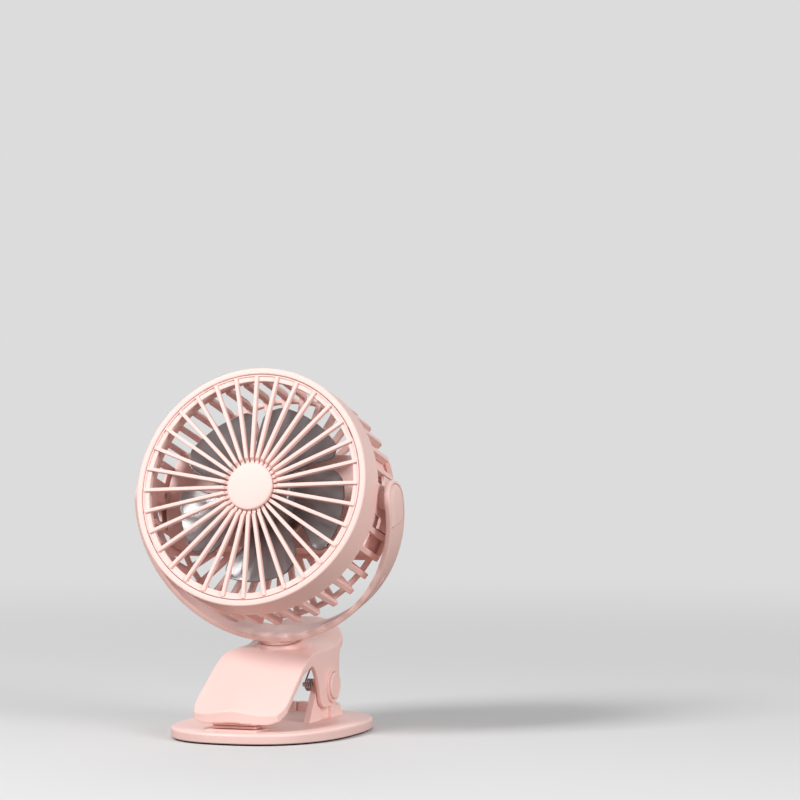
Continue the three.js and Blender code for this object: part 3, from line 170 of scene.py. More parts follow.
def rod(radius, start, end, axis, steps):
    """A round bar along an axis."""
    return revolved([(0, start), (radius, start), (radius, end), (0, end)], axis, steps)


def apply_modifier(piece, kind, **settings):
    only(piece)
    modifier = piece.modifiers.new(kind.title(), kind)
    for name, value in settings.items():
        setattr(modifier, name, value)
    bpy.ops.object.modifier_apply(modifier=modifier.name)
    return piece


def softened(piece, width, segments=3, limit=35):
    """Rounds every edge that is sharper than the limit, as the mould does."""
    return apply_modifier(piece, 'BEVEL', width=width, segments=segments, limit_method='ANGLE',
                          angle_limit=limit * DEGREE, use_clamp_overlap=True)


def bevel_where(piece, chosen, reach, segments):
    """Rounds only the edges that chosen(edge) picks."""
    in_edit_mode(piece)
    bpy.ops.mesh.select_mode(type='EDGE')
    bpy.ops.mesh.select_all(action='DESELECT')
    mesh = bmesh.from_edit_mesh(piece.data)
    for edge in mesh.edges:
        edge.select = chosen(edge)
    bmesh.update_edit_mesh(piece.data)
    bpy.ops.mesh.bevel(offset=reach, segments=segments, affect='EDGES')
    bpy.ops.mesh.select_mode(type='VERT')
    bpy.ops.object.mode_set(mode='OBJECT')


def combined(piece, other, operation):
    """Joins, cuts or crosses two closed solids and deletes the second."""
    apply_modifier(piece, 'BOOLEAN', object=other, operation=operation, solver='MANIFOLD')
    bpy.data.objects.remove(other)
    return piece


def placed(piece, matrix):
    """Moves the mesh itself, so the object stays at the origin."""
    only(piece)
    piece.matrix_world = matrix
    bpy.ops.object.transform_apply(location=True, rotation=True, scale=True)
    return piece


def moulded_skin(piece, grain, passes):
    """Fuses overlapping solids into one skin and rounds its edges as a mould would."""
    apply_modifier(piece, 'REMESH', mode='VOXEL', voxel_size=grain)
    return apply_modifier(piece, 'SMOOTH', factor=0.5, iterations=passes)


def copied(piece):
    copy = piece.copy()
    copy.data = piece.data.copy()
    bpy.context.scene.collection.objects.link(copy)
    return copy


def around(piece, count, start=0.0):
    """Copies of one piece, turned about Y in equal steps and joined."""
    copies = [placed(copied(piece), Matrix.Rotation(start + i * 2 * math.pi / count, 4, 'Y'))
              for i in range(count)]
    bpy.data.objects.remove(piece)
    return joined(copies)


def joined(pieces):
    bpy.ops.object.select_all(action='DESELECT')
    for piece in pieces:
        piece.select_set(True)
    bpy.context.view_layer.objects.active = pieces[0]
    if len(pieces) > 1:
        bpy.ops.object.join()
    return pieces[0]


def mirrored(build):
    """The left and right copies of what build(side) makes."""
    return [build(-1), build(1)]


def turned_to(side, piece):
    """Turns a piece that was made at +X to the left or right side."""
    return placed(piece, Matrix.Rotation(math.pi if side < 0 else 0, 4, 'Y'))


def finished(piece, name, body, material, slot, *nodes, smooth=32):
    """Names a piece, shades it, gives it its material and ties it to the frame.

    A piece without a body of its own is left unattached, where it is made.
    """
    only(piece)
    bpy.ops.object.shade_smooth_by_angle(angle=smooth * DEGREE)
    apply_modifier(piece, 'WEIGHTED_NORMAL', keep_sharp=True, weight=80)
    piece.name = name
    piece.data.name = name
    piece.data.materials.clear()
    piece.data.materials.append(material)
    if body:
        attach(piece, body)
    if nodes:
        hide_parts(*nodes)
    return piece


def in_mm(*points):
    return [(a * MM, b * MM) for a, b in points]


def between(a, b, share):
    return a + (b - a) * share


def curve_through(start, control, end, steps):
    """Points of a quadratic curve, without its first."""
    points = []
    for i in range(1, steps + 1):
        t = i / steps
        points.append(tuple((1 - t) ** 2 * p + 2 * t * (1 - t) * q + t ** 2 * r
                            for p, q, r in zip(start, control, end)))
    return points


def arc(radius, centre, start, end, steps):
    return [(centre[0] + radius * math.cos(between(start, end, i / steps)),
             centre[1] + radius * math.sin(between(start, end, i / steps)))
            for i in range(steps + 1)]


# Materials

CLOUD_SIZE = 22 * MM  # of the faint clouds in moulded plastic


def linear(hex_colour):
    """An sRGB hex value as linear colour."""
    parts = [int(hex_colour[i:i + 2], 16) / 255 for i in (1, 3, 5)]
    return [p / 12.92 if p <= 0.04045 else ((p + 0.055) / 1.055) ** 2.4 for p in parts] + [1]


def add_node(tree, kind, links=(), **settings):
    """Adds a node, sets its inputs or properties, and links (output, input) pairs to it."""
    node = tree.nodes.new(kind)
    for name, value in settings.items():
        if name in node.inputs:
            node.inputs[name].default_value = value
        else:
            setattr(node, name, value)
    for output, name in links:
        tree.links.new(output, node.inputs[name])
    return node


def new_material(name):
    material = bpy.data.materials.new(name)
    material.use_nodes = True
    material.node_tree.nodes.clear()
    return material, material.node_tree


def surface(tree, shader):
    add_node(tree, 'ShaderNodeOutputMaterial', [(shader.outputs[0], 'Surface')])


def mixed(tree, share, first, second):
    """Two shaders, mixed by the share of the second."""
    sources = [(node.outputs[0], i) for i, node in enumerate((share, first, second))]
    return add_node(tree, 'ShaderNodeMixShader', sources)


def noise(tree, place, spot_size, detail):
    """Cloudy values in spots of about this size."""
    return add_node(tree, 'ShaderNodeTexNoise', [(place, 'Vector')], Scale=1 / spot_size,
                    Detail=detail).outputs['Fac']


def toned(tree, factor, light, dark):
    """A colour that wanders between two close tones."""
    return add_node(tree, 'ShaderNodeMix', [(factor, 'Factor')], data_type='RGBA', A=linear(dark),
                    B=linear(light)).outputs['Result']


def patchy(tree, factor, roughness, spread):
    """A roughness that varies by this share to both sides."""
    limits = {'To Min': roughness * (1 - spread), 'To Max': roughness * (1 + spread)}
    return add_node(tree, 'ShaderNodeMapRange', [(factor, 'Value')], **limits).outputs['Result']


def moulded_plastic(name, light, dark, roughness, grain_mm, grain_height_mm, **sockets):
    """Injection-moulded plastic: a cloudy tone, a spark-eroded grain and a patchy gloss."""
    material, tree = new_material(name)
    place = add_node(tree, 'ShaderNodeTexCoord').outputs['Object']
    cloud = noise(tree, place, CLOUD_SIZE, 3.0)
    grain = noise(tree, place, grain_mm * MM, 2.0)
    bump = add_node(tree, 'ShaderNodeBump', [(grain, 'Height')], Strength=0.4,
                    Distance=grain_height_mm * MM)
    shader = add_node(tree, 'ShaderNodeBsdfPrincipled', [
        (toned(tree, cloud, light, dark), 'Base Color'),
        (patchy(tree, grain, roughness, 0.1), 'Roughness'),
        (bump.outputs['Normal'], 'Normal')], **sockets)
    surface(tree, shader)
    return material


def drawn_metal(name, light, dark, roughness, streak_mm):
    """Bare metal, drawn or turned: fine streaks change its tone and gloss."""
    material, tree = new_material(name)
    place = add_node(tree, 'ShaderNodeTexCoord').outputs['Object']
    streak = noise(tree, place, streak_mm * MM, 4.0)
    shader = add_node(tree, 'ShaderNodeBsdfPrincipled', [
        (toned(tree, streak, light, dark), 'Base Color'),
        (patchy(tree, streak, roughness, 0.2), 'Roughness')], Metallic=1.0)
    surface(tree, shader)
    return material


# Satin ABS, moulded in a pale pink masterbatch: even, soft gloss with a very fine eroded grain.
# The grain is really about 0.1 mm and is drawn at 0.6 mm, so that it shows at all.
pink_abs = moulded_plastic("pink_abs", "#f7d4cd", "#f4cec7", 0.47, 0.6, 0.012)
# Soft thermoplastic rubber for the jaw pads: the same pink, without gloss.
pink_rubber = moulded_plastic("pink_rubber", "#efc7c0", "#eabfb7", 0.75, 0.8, 0.04)
# Foamed black rubber sheet under the foot: dead matt and slightly pitted. Its black is also
# painted shadow: it stands for the dark contact shadow along the foot's lower edge.
black_rubber = moulded_plastic("black_rubber", "#1b1b1b", "#121212", 0.85, 0.7, 0.06)
# Smoke-grey polycarbonate blades: dark, glossy, and letting a little light through.
smoked_blades = moulded_plastic("smoked_polycarbonate", "#9a9597", "#8f8a8c", 0.18, 8.0, 0.0005,
                                **{'IOR': 1.58, 'Transmission Weight': 0.45})
# Bright drawn spring steel: pins, springs, screws and the socket's shell.
spring_steel = drawn_metal("spring_steel", "#d4d3d1", "#a9a8a7", 0.26, 0.5)
# Enamelled copper and laminated iron of the motor's coil star.
coil_copper = drawn_metal("coil_copper", "#b06a42", "#7a4529", 0.42, 0.6)
# Sintered bronze of the shaft bearings: dull and porous.
bearing_bronze = drawn_metal("bearing_bronze", "#b9935c", "#94713f", 0.5, 0.4)
# Bonded ferrite of the magnet ring: near black, hardly any shine.
ferrite = moulded_plastic("ferrite_magnet", "#3c3c3e", "#2c2c2e", 0.6, 0.6, 0.02)
# Aluminium pouch foil of the cell.
cell_foil = drawn_metal("cell_foil", "#c3c6ca", "#a3a7ad", 0.38, 1.5)
# Green solder mask over the board.
solder_mask = moulded_plastic("solder_mask", "#1f5c39", "#174c2d", 0.35, 1.0, 0.02)
# Milky acrylic of the light pipe.
milky_acrylic = moulded_plastic("milky_acrylic", "#f6f5f0", "#ecebe4", 0.2, 1.0, 0.005)

# Camera, floor and light

CAMERA_PLACE = (0.8582, -2.1106, 0.2484)
CAMERA_TURN = 20.35 * DEGREE
CAMERA_DROP = 1.59 * DEGREE
WALL = "#dcdcdc"
BOUNCE = "#766a62"  # the warm tone that the floor throws up on the fan

camera_data = bpy.data.cameras.new("camera")
camera = bpy.data.objects.new("camera", camera_data)
bpy.context.scene.collection.objects.link(camera)
camera_data.sensor_width = 36
camera_data.lens = 184.48
camera_data.clip_end = 50
camera.location = CAMERA_PLACE
camera.rotation_euler = (math.pi / 2 - CAMERA_DROP, 0, CAMERA_TURN)
bpy.context.scene.camera = camera
bpy.context.scene.view_settings.view_transform = 'Standard'


def stage_light(name, place, size, power):
    """A plain white soft box that looks at the fan."""
    lamp = bpy.data.lights.new(name, 'AREA')
    lamp.size = size
    lamp.energy = power
    lamp_object = bpy.data.objects.new(name, lamp)
    bpy.context.scene.collection.objects.link(lamp_object)
    lamp_object.location = place
    look = Vector((0, 0, 0.1)) - Vector(place)
    lamp_object.rotation_euler = look.to_track_quat('-Z', 'Y').to_euler()


def plain_floor():
    """A pale matt floor, wide enough to reach the horizon in every view."""
    bpy.ops.object.select_all(action='DESELECT')
    bpy.ops.mesh.primitive_circle_add(vertices=96, radius=9, fill_type='NGON',
                                      location=(0, 0, -0.05 * MM))
    floor = bpy.context.object
    floor.name = "floor"
    material, tree = new_material("matt_floor")
    place = add_node(tree, 'ShaderNodeTexCoord').outputs['Object']
    tone = toned(tree, noise(tree, place, 1 / 1.2, 2.0), "#dbdbdc", "#d6d6d7")
    path = add_node(tree, 'ShaderNodeLightPath')
    tint = add_node(tree, 'ShaderNodeMix', [(path.outputs['Is Camera Ray'], 'Factor'),
                                            (tone, 'B')], data_type='RGBA', A=linear(BOUNCE))
    near = add_node(tree, 'ShaderNodeBsdfPrincipled', [(tint.outputs['Result'], 'Base Color')],
                    Roughness=0.8)
    far = add_node(tree, 'ShaderNodeEmission', Color=linear(WALL), Strength=1.0)
    distance = add_node(tree, 'ShaderNodeVectorMath', [(place, 'Vector')], operation='LENGTH')
    away = add_node(tree, 'ShaderNodeMapRange', [(distance.outputs['Value'], 'Value')],
                    interpolation_type='SMOOTHSTEP', **{'From Min': 0.3, 'From Max': 1.3})
    shown = add_node(tree, 'ShaderNodeMath', [(away.outputs['Result'], 0),
                                              (path.outputs['Is Camera Ray'], 1)],
                     operation='MULTIPLY')
    surface(tree, mixed(tree, shown, near, far))
    floor.data.materials.append(material)


def plain_world():
    """A soft even room: pale to the camera, to gloss and through the blades, dimmer as a lamp."""
    world = bpy.data.worlds.new("room")
    bpy.context.scene.world = world
    world.use_nodes = True
    tree = world.node_tree
    tree.nodes.clear()
    path = add_node(tree, 'ShaderNodeLightPath')
    seen = add_node(tree, 'ShaderNodeMath', [(path.outputs['Is Camera Ray'], 0),
                                             (path.outputs['Is Transmission Ray'], 1)],
                    operation='MAXIMUM')
    shown = add_node(tree, 'ShaderNodeMath', [(seen.outputs[0], 0),
                                              (path.outputs['Is Glossy Ray'], 1)],
                     operation='MAXIMUM')
    room = add_node(tree, 'ShaderNodeBackground', Color=(1, 1, 1, 1), Strength=0.32)
    wall = add_node(tree, 'ShaderNodeBackground', Color=linear(WALL), Strength=1.0)
    mix = mixed(tree, shown, room, wall)
    add_node(tree, 'ShaderNodeOutputWorld', [(mix.outputs[0], 'Surface')])


plain_floor()
plain_world()
stage_light("key", (-0.95, -1.5, 1.5), 0.7, 41)
stage_light("fill", (1.9, -0.9, 0.8), 1.0, 28)
stage_light("back", (-0.6, 1.8, 1.5), 1.2, 5)

# Foot of the fan

OVAL_CORNERS = 144
ROOT = 5 * MM  # what stands on the foot starts at this height inside it
STOP_FRONT = 54 * MM
STOP_DEPTH = 4 * MM
STOP_HEIGHT = 5.6 * MM


def oval(length, width, height):
    points = []
    for i in range(OVAL_CORNERS):
        angle = 2 * math.pi * (i + 0.5) / OVAL_CORNERS
        cosine, sine = math.cos(angle), math.sin(angle)
        x = math.copysign(abs(cosine) ** (2 / OVAL_FULLNESS), cosine) * width / 2
        y = math.copysign(abs(sine) ** (2 / OVAL_FULLNESS), sine) * length / 2
        points.append((x, y, height))
    return points


def rim_at(height):
    """Picks the edges of the outline at one height."""
    def on_rim(edge):
        level = all(abs(vertex.co.z - height) < 0.01 * MM for vertex in edge.verts)
        return level and edge.calc_face_angle(0) > 30 * DEGREE
    return on_rim


def foot_slab(length, width, bottom, top, upper_round, lower_round):
    piece = extruded(oval(length, width, bottom), (0, 0, top - bottom))
    bevel_where(piece, rim_at(top), upper_round, 5)
    bevel_where(piece, rim_at(bottom), lower_round, 5)
    return piece


POST_THICKNESS = 3.6 * MM
POST_OUTER = EAR_INNER - CLEARANCE
POST_INNER = POST_OUTER - POST_THICKNESS
POST_HEAD = 7 * MM
POCKET_DEPTH = 1.8 * MM


def post_outline():
    """The side view of a post, in Y and Z: a leaning gusset, a round head and a low rib."""
    y, z = CLIP_PIVOT.y, CLIP_PIVOT.z
    front = [(-3.4 * MM, ROOT), (-3.4 * MM, BASE_TOP), (7.7 * MM, BASE_TOP + 17.3 * MM)]
    shoulder = curve_through(front[-1], (y - POST_HEAD, z + POST_HEAD), (y, z + POST_HEAD), 8)
    head = arc(POST_HEAD, (y, z), math.pi / 2, 0, 10)[1:]
    rib = [(37.4 * MM, BASE_TOP + 6 * MM), (44.5 * MM, BASE_TOP + 6 * MM),
           (47.5 * MM, BASE_TOP), (47.5 * MM, ROOT)]
    return front + shoulder + head + rib


def post(side):
    """A post with its pin hole and the shallow pocket low on its outside."""
    inner, outer = side * POST_INNER, side * POST_OUTER
    piece = extruded([(inner, y, z) for y, z in post_outline()], (outer - inner, 0, 0))
    pocket = block((outer - side * POCKET_DEPTH, 13.9 * MM, BASE_TOP - MM),
                   (outer + side * OVERRUN, 29.3 * MM, BASE_TOP + 9 * MM))
    bore = rod(PIN_RADIUS + CLEARANCE / 2, inner - side * OVERRUN, outer + side * OVERRUN, 'x', 24)
    placed(bore, Matrix.Translation(CLIP_PIVOT))
    combined(piece, pocket, 'DIFFERENCE')
    combined(piece, bore, 'DIFFERENCE')
    return softened(piece, 0.45 * MM, 2)


def stop_block(from_x, to_x):
    """One of the three low blocks across the rear of the foot."""
    piece = block((from_x, STOP_FRONT, ROOT),
                  (to_x, STOP_FRONT + STOP_DEPTH, BASE_TOP + STOP_HEIGHT))
    return softened(piece, 0.7 * MM, 3)


def base_plate():
    slab = foot_slab(BASE_LENGTH, BASE_WIDTH, FOOT_THICKNESS, BASE_TOP, 1.6 * MM, 0.7 * MM)
    blocks = [stop_block(*ends) for ends in in_mm((-7, 7), (-17.9, -8.1), (8.1, 17.9))]
    for part in mirrored(post) + blocks:
        combined(slab, part, 'UNION')
    return finished(slab, "foot_plate", "base", pink_abs, "pink_plastic", "base_plate")


# A thin black rubber sheet inset under the foot. It also paints the dark contact shadow that runs
# along the foot's lower edge.
def anti_slip_sheet_and_painted_shadow():
    inset = 1.4 * MM
    piece = foot_slab(BASE_LENGTH - 2 * inset, BASE_WIDTH - 2 * inset, 0, FOOT_THICKNESS,
                      0.1 * MM, 0.25 * MM)
    return finished(piece, "anti_slip_sheet_and_painted_shadow", "base", black_rubber, "black_rubber",
                    "anti_slip_pad")


PAD_FRONT = -61 * MM
PAD_DEPTH = 18 * MM
PAD_WIDTH = 30 * MM
RIDGES = 4


def ribbed_pad():
    """The soft pad on the foot: a thin sheet with four ramped ridges across it."""
    points = [(PAD_FRONT + PAD_DEPTH, BASE_TOP), (PAD_FRONT, BASE_TOP)]
    pitch = PAD_DEPTH / RIDGES
    for i in range(RIDGES):
        start = PAD_FRONT + i * pitch
        points += [(start, BASE_TOP + 0.5 * MM), (start + 0.35 * pitch, BASE_TOP + 1.05 * MM),
                   (start + 0.55 * pitch, BASE_TOP + 1.1 * MM),
                   (start + 0.9 * pitch, BASE_TOP + 0.55 * MM)]
    points.append((PAD_FRONT + PAD_DEPTH, BASE_TOP + 0.5 * MM))
    piece = extruded([(-PAD_WIDTH / 2, y, z) for y, z in points], (PAD_WIDTH, 0, 0))
    softened(piece, 0.12 * MM, 2, 50)
    return finished(piece, "ribbed_pad", "base", pink_rubber, "pink_grip", "lower_jaw_pad")


def on_pin(piece, side):
    """Puts a piece that was revolved about X on the clip's pin, on one side."""
    return clean(placed(piece, Matrix.Translation(CLIP_PIVOT) @ Matrix.Scale(side, 4, (1, 0, 0))))


def pivot_pin(side):
    name = SIDE_NAME[side]
    inner, outer, round_end = 8.5 * MM, 24.6 * MM, 0.35 * MM
    pin = revolved([(0, inner), (PIN_RADIUS - round_end, inner), (PIN_RADIUS, inner + round_end),
                    (PIN_RADIUS, outer - round_end), (PIN_RADIUS - round_end, outer), (0, outer)],
                   'x', 28)
    on_pin(pin, side)
    return finished(pin, f"clip_pin_{name}", "base", spring_steel, "steel", f"pivot_pin_{name}")


base_plate()
anti_slip_sheet_and_painted_shadow()
ribbed_pad()
mirrored(pivot_pin)

# Springs

WIRE = 0.5 * MM
COIL_RADIUS = 3.2 * MM
COIL_PITCH = 1.25 * MM
COIL_START = 15.2 * MM
COIL_TURNS = 3
LEG_GAP = 0.7 * MM
SPRING_FOOT = (STOP_FRONT - LEG_GAP - CLIP_PIVOT.y, BASE_TOP + LEG_GAP - CLIP_PIVOT.z)
SPRING_TIP_PLACE = 44 * MM - CLIP_PIVOT.y


def spring_route(side, base_end, tab_end):
    """The wire's middle line: up from the foot, round the pin and off to the thumb tab."""
    def leave(end, turn):
        length = math.hypot(*end)
        return math.atan2(end[1], end[0]) + turn * math.acos(COIL_RADIUS / length)
    start = leave(base_end, -1)
    sweep = (start - leave(tab_end, 1)) % (2 * math.pi) + COIL_TURNS * 2 * math.pi
    steps = int(sweep / (2 * math.pi) * 32)
    coil = []
    for i in range(steps + 1):
        share = i / steps
        angle = start - share * sweep
        coil.append((COIL_START - COIL_PITCH * share * sweep / (2 * math.pi),
                     COIL_RADIUS * math.cos(angle), COIL_RADIUS * math.sin(angle)))
    route = [(coil[0][0], *base_end)] + coil + [(coil[-1][0], *tab_end)]
    return [(side * x, CLIP_PIVOT.y + y, CLIP_PIVOT.z + z) for x, y, z in route]


def torsion_spring(side):
    name = SIDE_NAME[side]
    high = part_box(f"torsion_spring_{name}")[1]
    tab_end = (SPRING_TIP_PLACE, high.z - CLIP_PIVOT.z - WIRE)
    route = spring_route(side, SPRING_FOOT, tab_end)
    bpy.ops.object.select_all(action='DESELECT')
    bpy.ops.curve.primitive_nurbs_path_add()
    path = bpy.context.object
    curve = path.data
    curve.splines.clear()
    spline = curve.splines.new('POLY')
    spline.points.add(len(route) - 1)
    for point, place in zip(spline.points, route):
        point.co = (*place, 1)
    curve.bevel_depth = WIRE
    curve.bevel_resolution = 3
    curve.use_fill_caps = True
    only(path)
    bpy.ops.object.convert(target='MESH')
    clean(path)
    spring = finished(path, f"wound_spring_{name}", None, spring_steel, "steel",
                      f"torsion_spring_{name}", smooth=60)
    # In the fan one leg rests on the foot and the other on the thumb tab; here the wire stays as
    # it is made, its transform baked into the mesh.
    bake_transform(spring)


mirrored(torsion_spring)

# Clip lever

LIP_FRONT = -52.5 * MM
LIP_BULGE = 8.5 * MM
LIP_TOP = 18 * MM
LIP_DIP = 2.2 * MM
LIP_DIP_PLACE = 17.5 * MM
LIP_BOTTOM = 10.2 * MM
LIP_RETURN = 2.2 * MM
LIP_CORNER = 8 * MM
FLAT_DROP = 5.6 * MM
TAB_ROUND = 17 * MM
TAB_CROWN = 5 * MM
RAMP_CROWN = 0.8 * MM


def way(angle):
    return (math.cos(angle * DEGREE), math.sin(angle * DEGREE))


def along(point, direction, distance):
    return (point[0] + direction[0] * distance, point[1] + direction[1] * distance)


def crossing(p, d, q, e):
    share = ((q[0] - p[0]) * e[1] - (q[1] - p[1]) * e[0]) / (d[0] * e[1] - d[1] * e[0])
    return along(p, d, share)


RAMP, FLAT, TAB = way(33.3), way(6), way(24.2)
LIP_EDGE = (LIP_FRONT, LIP_TOP)
FLAT_CENTRE = (SWIVEL.y + FLAT_DROP * math.sin(SWIVEL_LEAN),
               SWIVEL.z - FLAT_DROP * math.cos(SWIVEL_LEAN))
KNEE = crossing(LIP_EDGE, RAMP, FLAT_CENTRE, FLAT)
TAB_BEND = along(FLAT_CENTRE, FLAT, 16.2 * MM)
TAB_END = along(TAB_BEND, TAB, 29.5 * MM)


def below(point, direction, distance):
    """The point straight below another on a sheet that runs in this direction."""
    return along(point, (direction[1], -direction[0]), distance)


RAMP_UNDER = below(LIP_EDGE, RAMP, ARM_THICKNESS)
FLAT_UNDER = below(FLAT_CENTRE, FLAT, ARM_THICKNESS)
TAB_UNDER = below(TAB_BEND, TAB, ARM_THICKNESS)
TAB_END_UNDER = below(TAB_END, TAB, 5 * MM)
KNEE_UNDER = crossing(RAMP_UNDER, RAMP, FLAT_UNDER, FLAT)
BEND_UNDER = crossing(FLAT_UNDER, FLAT, TAB_UNDER, TAB)


def straight(start, end, steps):
    """Points on a straight run, without its first."""
    return [(between(start[0], end[0], i / steps), between(start[1], end[1], i / steps))
            for i in range(1, steps + 1)]


def sheet_profile():
    """Side view of the arm's sheet: lip, ramp, flat and tab, and back along the underside."""
    reach, bend = 12 * MM, 8 * MM
    points = [(LIP_FRONT, LIP_BOTTOM)] + straight((LIP_FRONT, LIP_BOTTOM), LIP_EDGE, 4)
    for corner, before, after, size in ((KNEE, RAMP, FLAT, reach), (TAB_BEND, FLAT, TAB, bend)):
        start = along(corner, before, -size)
        points += straight(points[-1], start, 12)
        points += curve_through(start, corner, along(corner, after, size), 14)
    points += straight(points[-1], TAB_END, 10)
    points += straight(TAB_END, TAB_END_UNDER, 3)
    back = (TAB_END_UNDER[0] - BEND_UNDER[0], TAB_END_UNDER[1] - BEND_UNDER[1])
    length = math.hypot(*back)
    tab_under = (back[0] / length, back[1] / length)
    for corner, before, after, size in ((BEND_UNDER, tab_under, FLAT, bend),
                                        (KNEE_UNDER, FLAT, RAMP, reach)):
        start = along(corner, before, size)
        points += straight(points[-1], start, 10)
        points += curve_through(start, corner, along(corner, after, -size), 14)
    inner = crossing(RAMP_UNDER, RAMP, (LIP_FRONT + LIP_RETURN, LIP_BOTTOM), (0, 1))
    points += straight(points[-1], inner, 10)
    points += straight(inner, (LIP_FRONT + LIP_RETURN, LIP_BOTTOM), 4)
    return points


def crown_at(y):
    share = min(max((y - KNEE[0]) / (TAB_END[0] - KNEE[0]), 0), 1)
    return RAMP_CROWN + (TAB_CROWN - RAMP_CROWN) * share * share * (3 - 2 * share)


def bend_across(piece):
    """Bends the sheet across its width: the lip bulges and dips, the tab is crowned."""
    for vertex in piece.data.vertices:
        x, y, z = vertex.co
        across = abs(x) / (LIP_WIDTH / 2)
        towards_lip = min(max((KNEE[0] - y) / (KNEE[0] - LIP_FRONT), 0), 1)
        dip = LIP_DIP * math.sin(math.pi * x / (2 * LIP_DIP_PLACE)) ** 2 * towards_lip ** 2
        vertex.co.y = y - LIP_BULGE * (1 - across ** 2) * towards_lip
        vertex.co.z = z - crown_at(y) * across ** 2.5 - dip


def arm_plan():
    """The arm from above: wide at the lip, a little narrower at the ears, round at the tab."""
    half, lip = ARM_WIDTH / 2, LIP_WIDTH / 2
    front = LIP_FRONT - LIP_BULGE + CLEARANCE
    start = TAB_END[0] - TAB_ROUND
    corner = (lip - LIP_CORNER, front)
    right = [corner] + curve_through(corner, (lip, LIP_FRONT), (lip, LIP_FRONT + LIP_CORNER), 10)
    right += [(half, KNEE[0] - 6 * MM), (EAR_OUTER, KNEE[0] + 6 * MM), (EAR_OUTER, start)]
    tab = [(EAR_OUTER * math.cos(a), start + TAB_ROUND * math.sin(a))
           for a in (math.pi * i / 48 for i in range(1, 48))]
    left = [(-x, y) for x, y in reversed(right)]
    return right + tab + left + [(0, LIP_FRONT - LIP_BULGE - OVERRUN)]


def lip_wave():
    """What is cut from below the lip, so that its lower edge rises in the middle and corners."""
    half = LIP_WIDTH / 2 + OVERRUN
    low = LIP_BOTTOM - LIP_DIP - OVERRUN
    points = [(half, low), (-half, low)]
    for i in range(41):
        x = -half + 2 * half * i / 40
        beyond = max(abs(x) - LIP_DIP_PLACE, 0) / (LIP_WIDTH / 2 - LIP_DIP_PLACE)
        inside = min(abs(x) / LIP_DIP_PLACE, 1)
        rise = 0.5 * MM * (1 + math.cos(math.pi * inside)) + 3 * MM * beyond ** 2
        points.append((x, LIP_BOTTOM + rise))
    front = LIP_FRONT - LIP_BULGE - OVERRUN
    return extruded([(x, front, z) for x, z in points],
                    (0, LIP_BULGE + OVERRUN + LIP_RETURN + CLEARANCE, 0))


def edge_middle(y):
    """The middle of the sheet at its two sides."""
    place, direction = FLAT_CENTRE, FLAT
    if y < KNEE[0]:
        place, direction = KNEE, RAMP
    if y > TAB_BEND[0]:
        place, direction = TAB_BEND, TAB
    rise = (y - place[0]) * direction[1] / direction[0]
    return place[1] + rise - crown_at(y) - ARM_THICKNESS / 2


EAR_RADIUS = 11.6 * MM
CAP_SEAT = 25.2 * MM  # the caps of the pins and their raised rings start here
SWIVEL_BORE = 5.3 * MM


def ear_outline():
    """Side view of an ear: round below the pin, with a web in front and a flare behind."""
    foot, rear = CLIP_PIVOT.z - EAR_RADIUS, CLIP_PIVOT.y + EAR_RADIUS
    web, apex, shoulder, toe, toe_radius = -27 * MM, -6 * MM, 1.6 * MM, 6.9 * MM, 5.4 * MM
    apex_z = edge_middle(apex) - 4.6 * MM
    flare, flare_height = 3.4 * MM, 12 * MM
    flare_top = edge_middle(rear + flare)
    points = [(web, edge_middle(web)), (apex, apex_z)]
    points += curve_through(points[-1], (shoulder, apex_z - shoulder),
                            (toe, foot + toe_radius), 10)
    points += curve_through(points[-1], (toe + toe_radius / 3, foot),
                            (toe + 1.5 * toe_radius, foot), 6)
    points += arc(EAR_RADIUS, (CLIP_PIVOT.y, CLIP_PIVOT.z), 1.5 * math.pi, 2 * math.pi, 12)
    points.append((rear, flare_top - flare_height))
    points += curve_through(points[-1], (rear, flare_top - ARM_THICKNESS),
                            (rear + flare, flare_top), 6)
    for tenths in range(9, 0, -1):
        y = between(web, rear + flare, tenths / 10)
        points.append((y, edge_middle(y)))
    return points


def ear(side):
    inner, outer = side * EAR_INNER, side * EAR_OUTER
    piece = extruded([(inner, y, z) for y, z in ear_outline()], (outer - inner, 0, 0))
    bore = rod(PIN_RADIUS + CLEARANCE, side * 20 * MM, side * 25 * MM, 'x', 24)
    return combined(piece, placed(bore, Matrix.Translation(CLIP_PIVOT)), 'DIFFERENCE')


def ear_boss(side):
    """The raised round pad on the outside of an ear, round the cap of the pin."""
    face = 27.5 * MM
    profile = [(7.6 * MM, CAP_SEAT), (9.6 * MM, CAP_SEAT), (9.4 * MM, face - 0.3 * MM)]
    profile += curve_through(profile[-1], (9.4 * MM, face), (9.1 * MM, face), 3)
    profile += [(7.9 * MM, face), (7.6 * MM, face - 0.3 * MM)]
    return on_pin(revolved(profile, 'x', 72), side)


def swivel_boss():
    """The flared round foot of the swivel, on the flat, with its bore and lower seat."""
    seat, low = 9.4 * MM, -(FLAT_DROP + ARM_THICKNESS + 1.4 * MM)
    flare = in_mm((12.6, -2.4), (12.9, -3.4), (13.8, -4.6), (16, -5.6), (16, -7.4))
    profile = [(SWIVEL_BORE, -2.4 * MM), *flare, (seat, -7.4 * MM), (seat, low),
               (SWIVEL_BORE, low)]
    return placed(revolved(profile, 'z', 72), YOKE_PLACE)


def jaw_block():
    """The block behind the lip that carries the upper pad."""
    front, rear, low, half = -56.6 * MM, -44.6 * MM, 9.5 * MM, 12.8 * MM
    under = crossing(RAMP_UNDER, RAMP, (rear, 0), (0, 1))[1]
    points = [(front, low), (rear, low), (rear, under + ARM_THICKNESS), (front, LIP_TOP)]
    return extruded([(-half, y, z) for y, z in points], (2 * half, 0, 0))


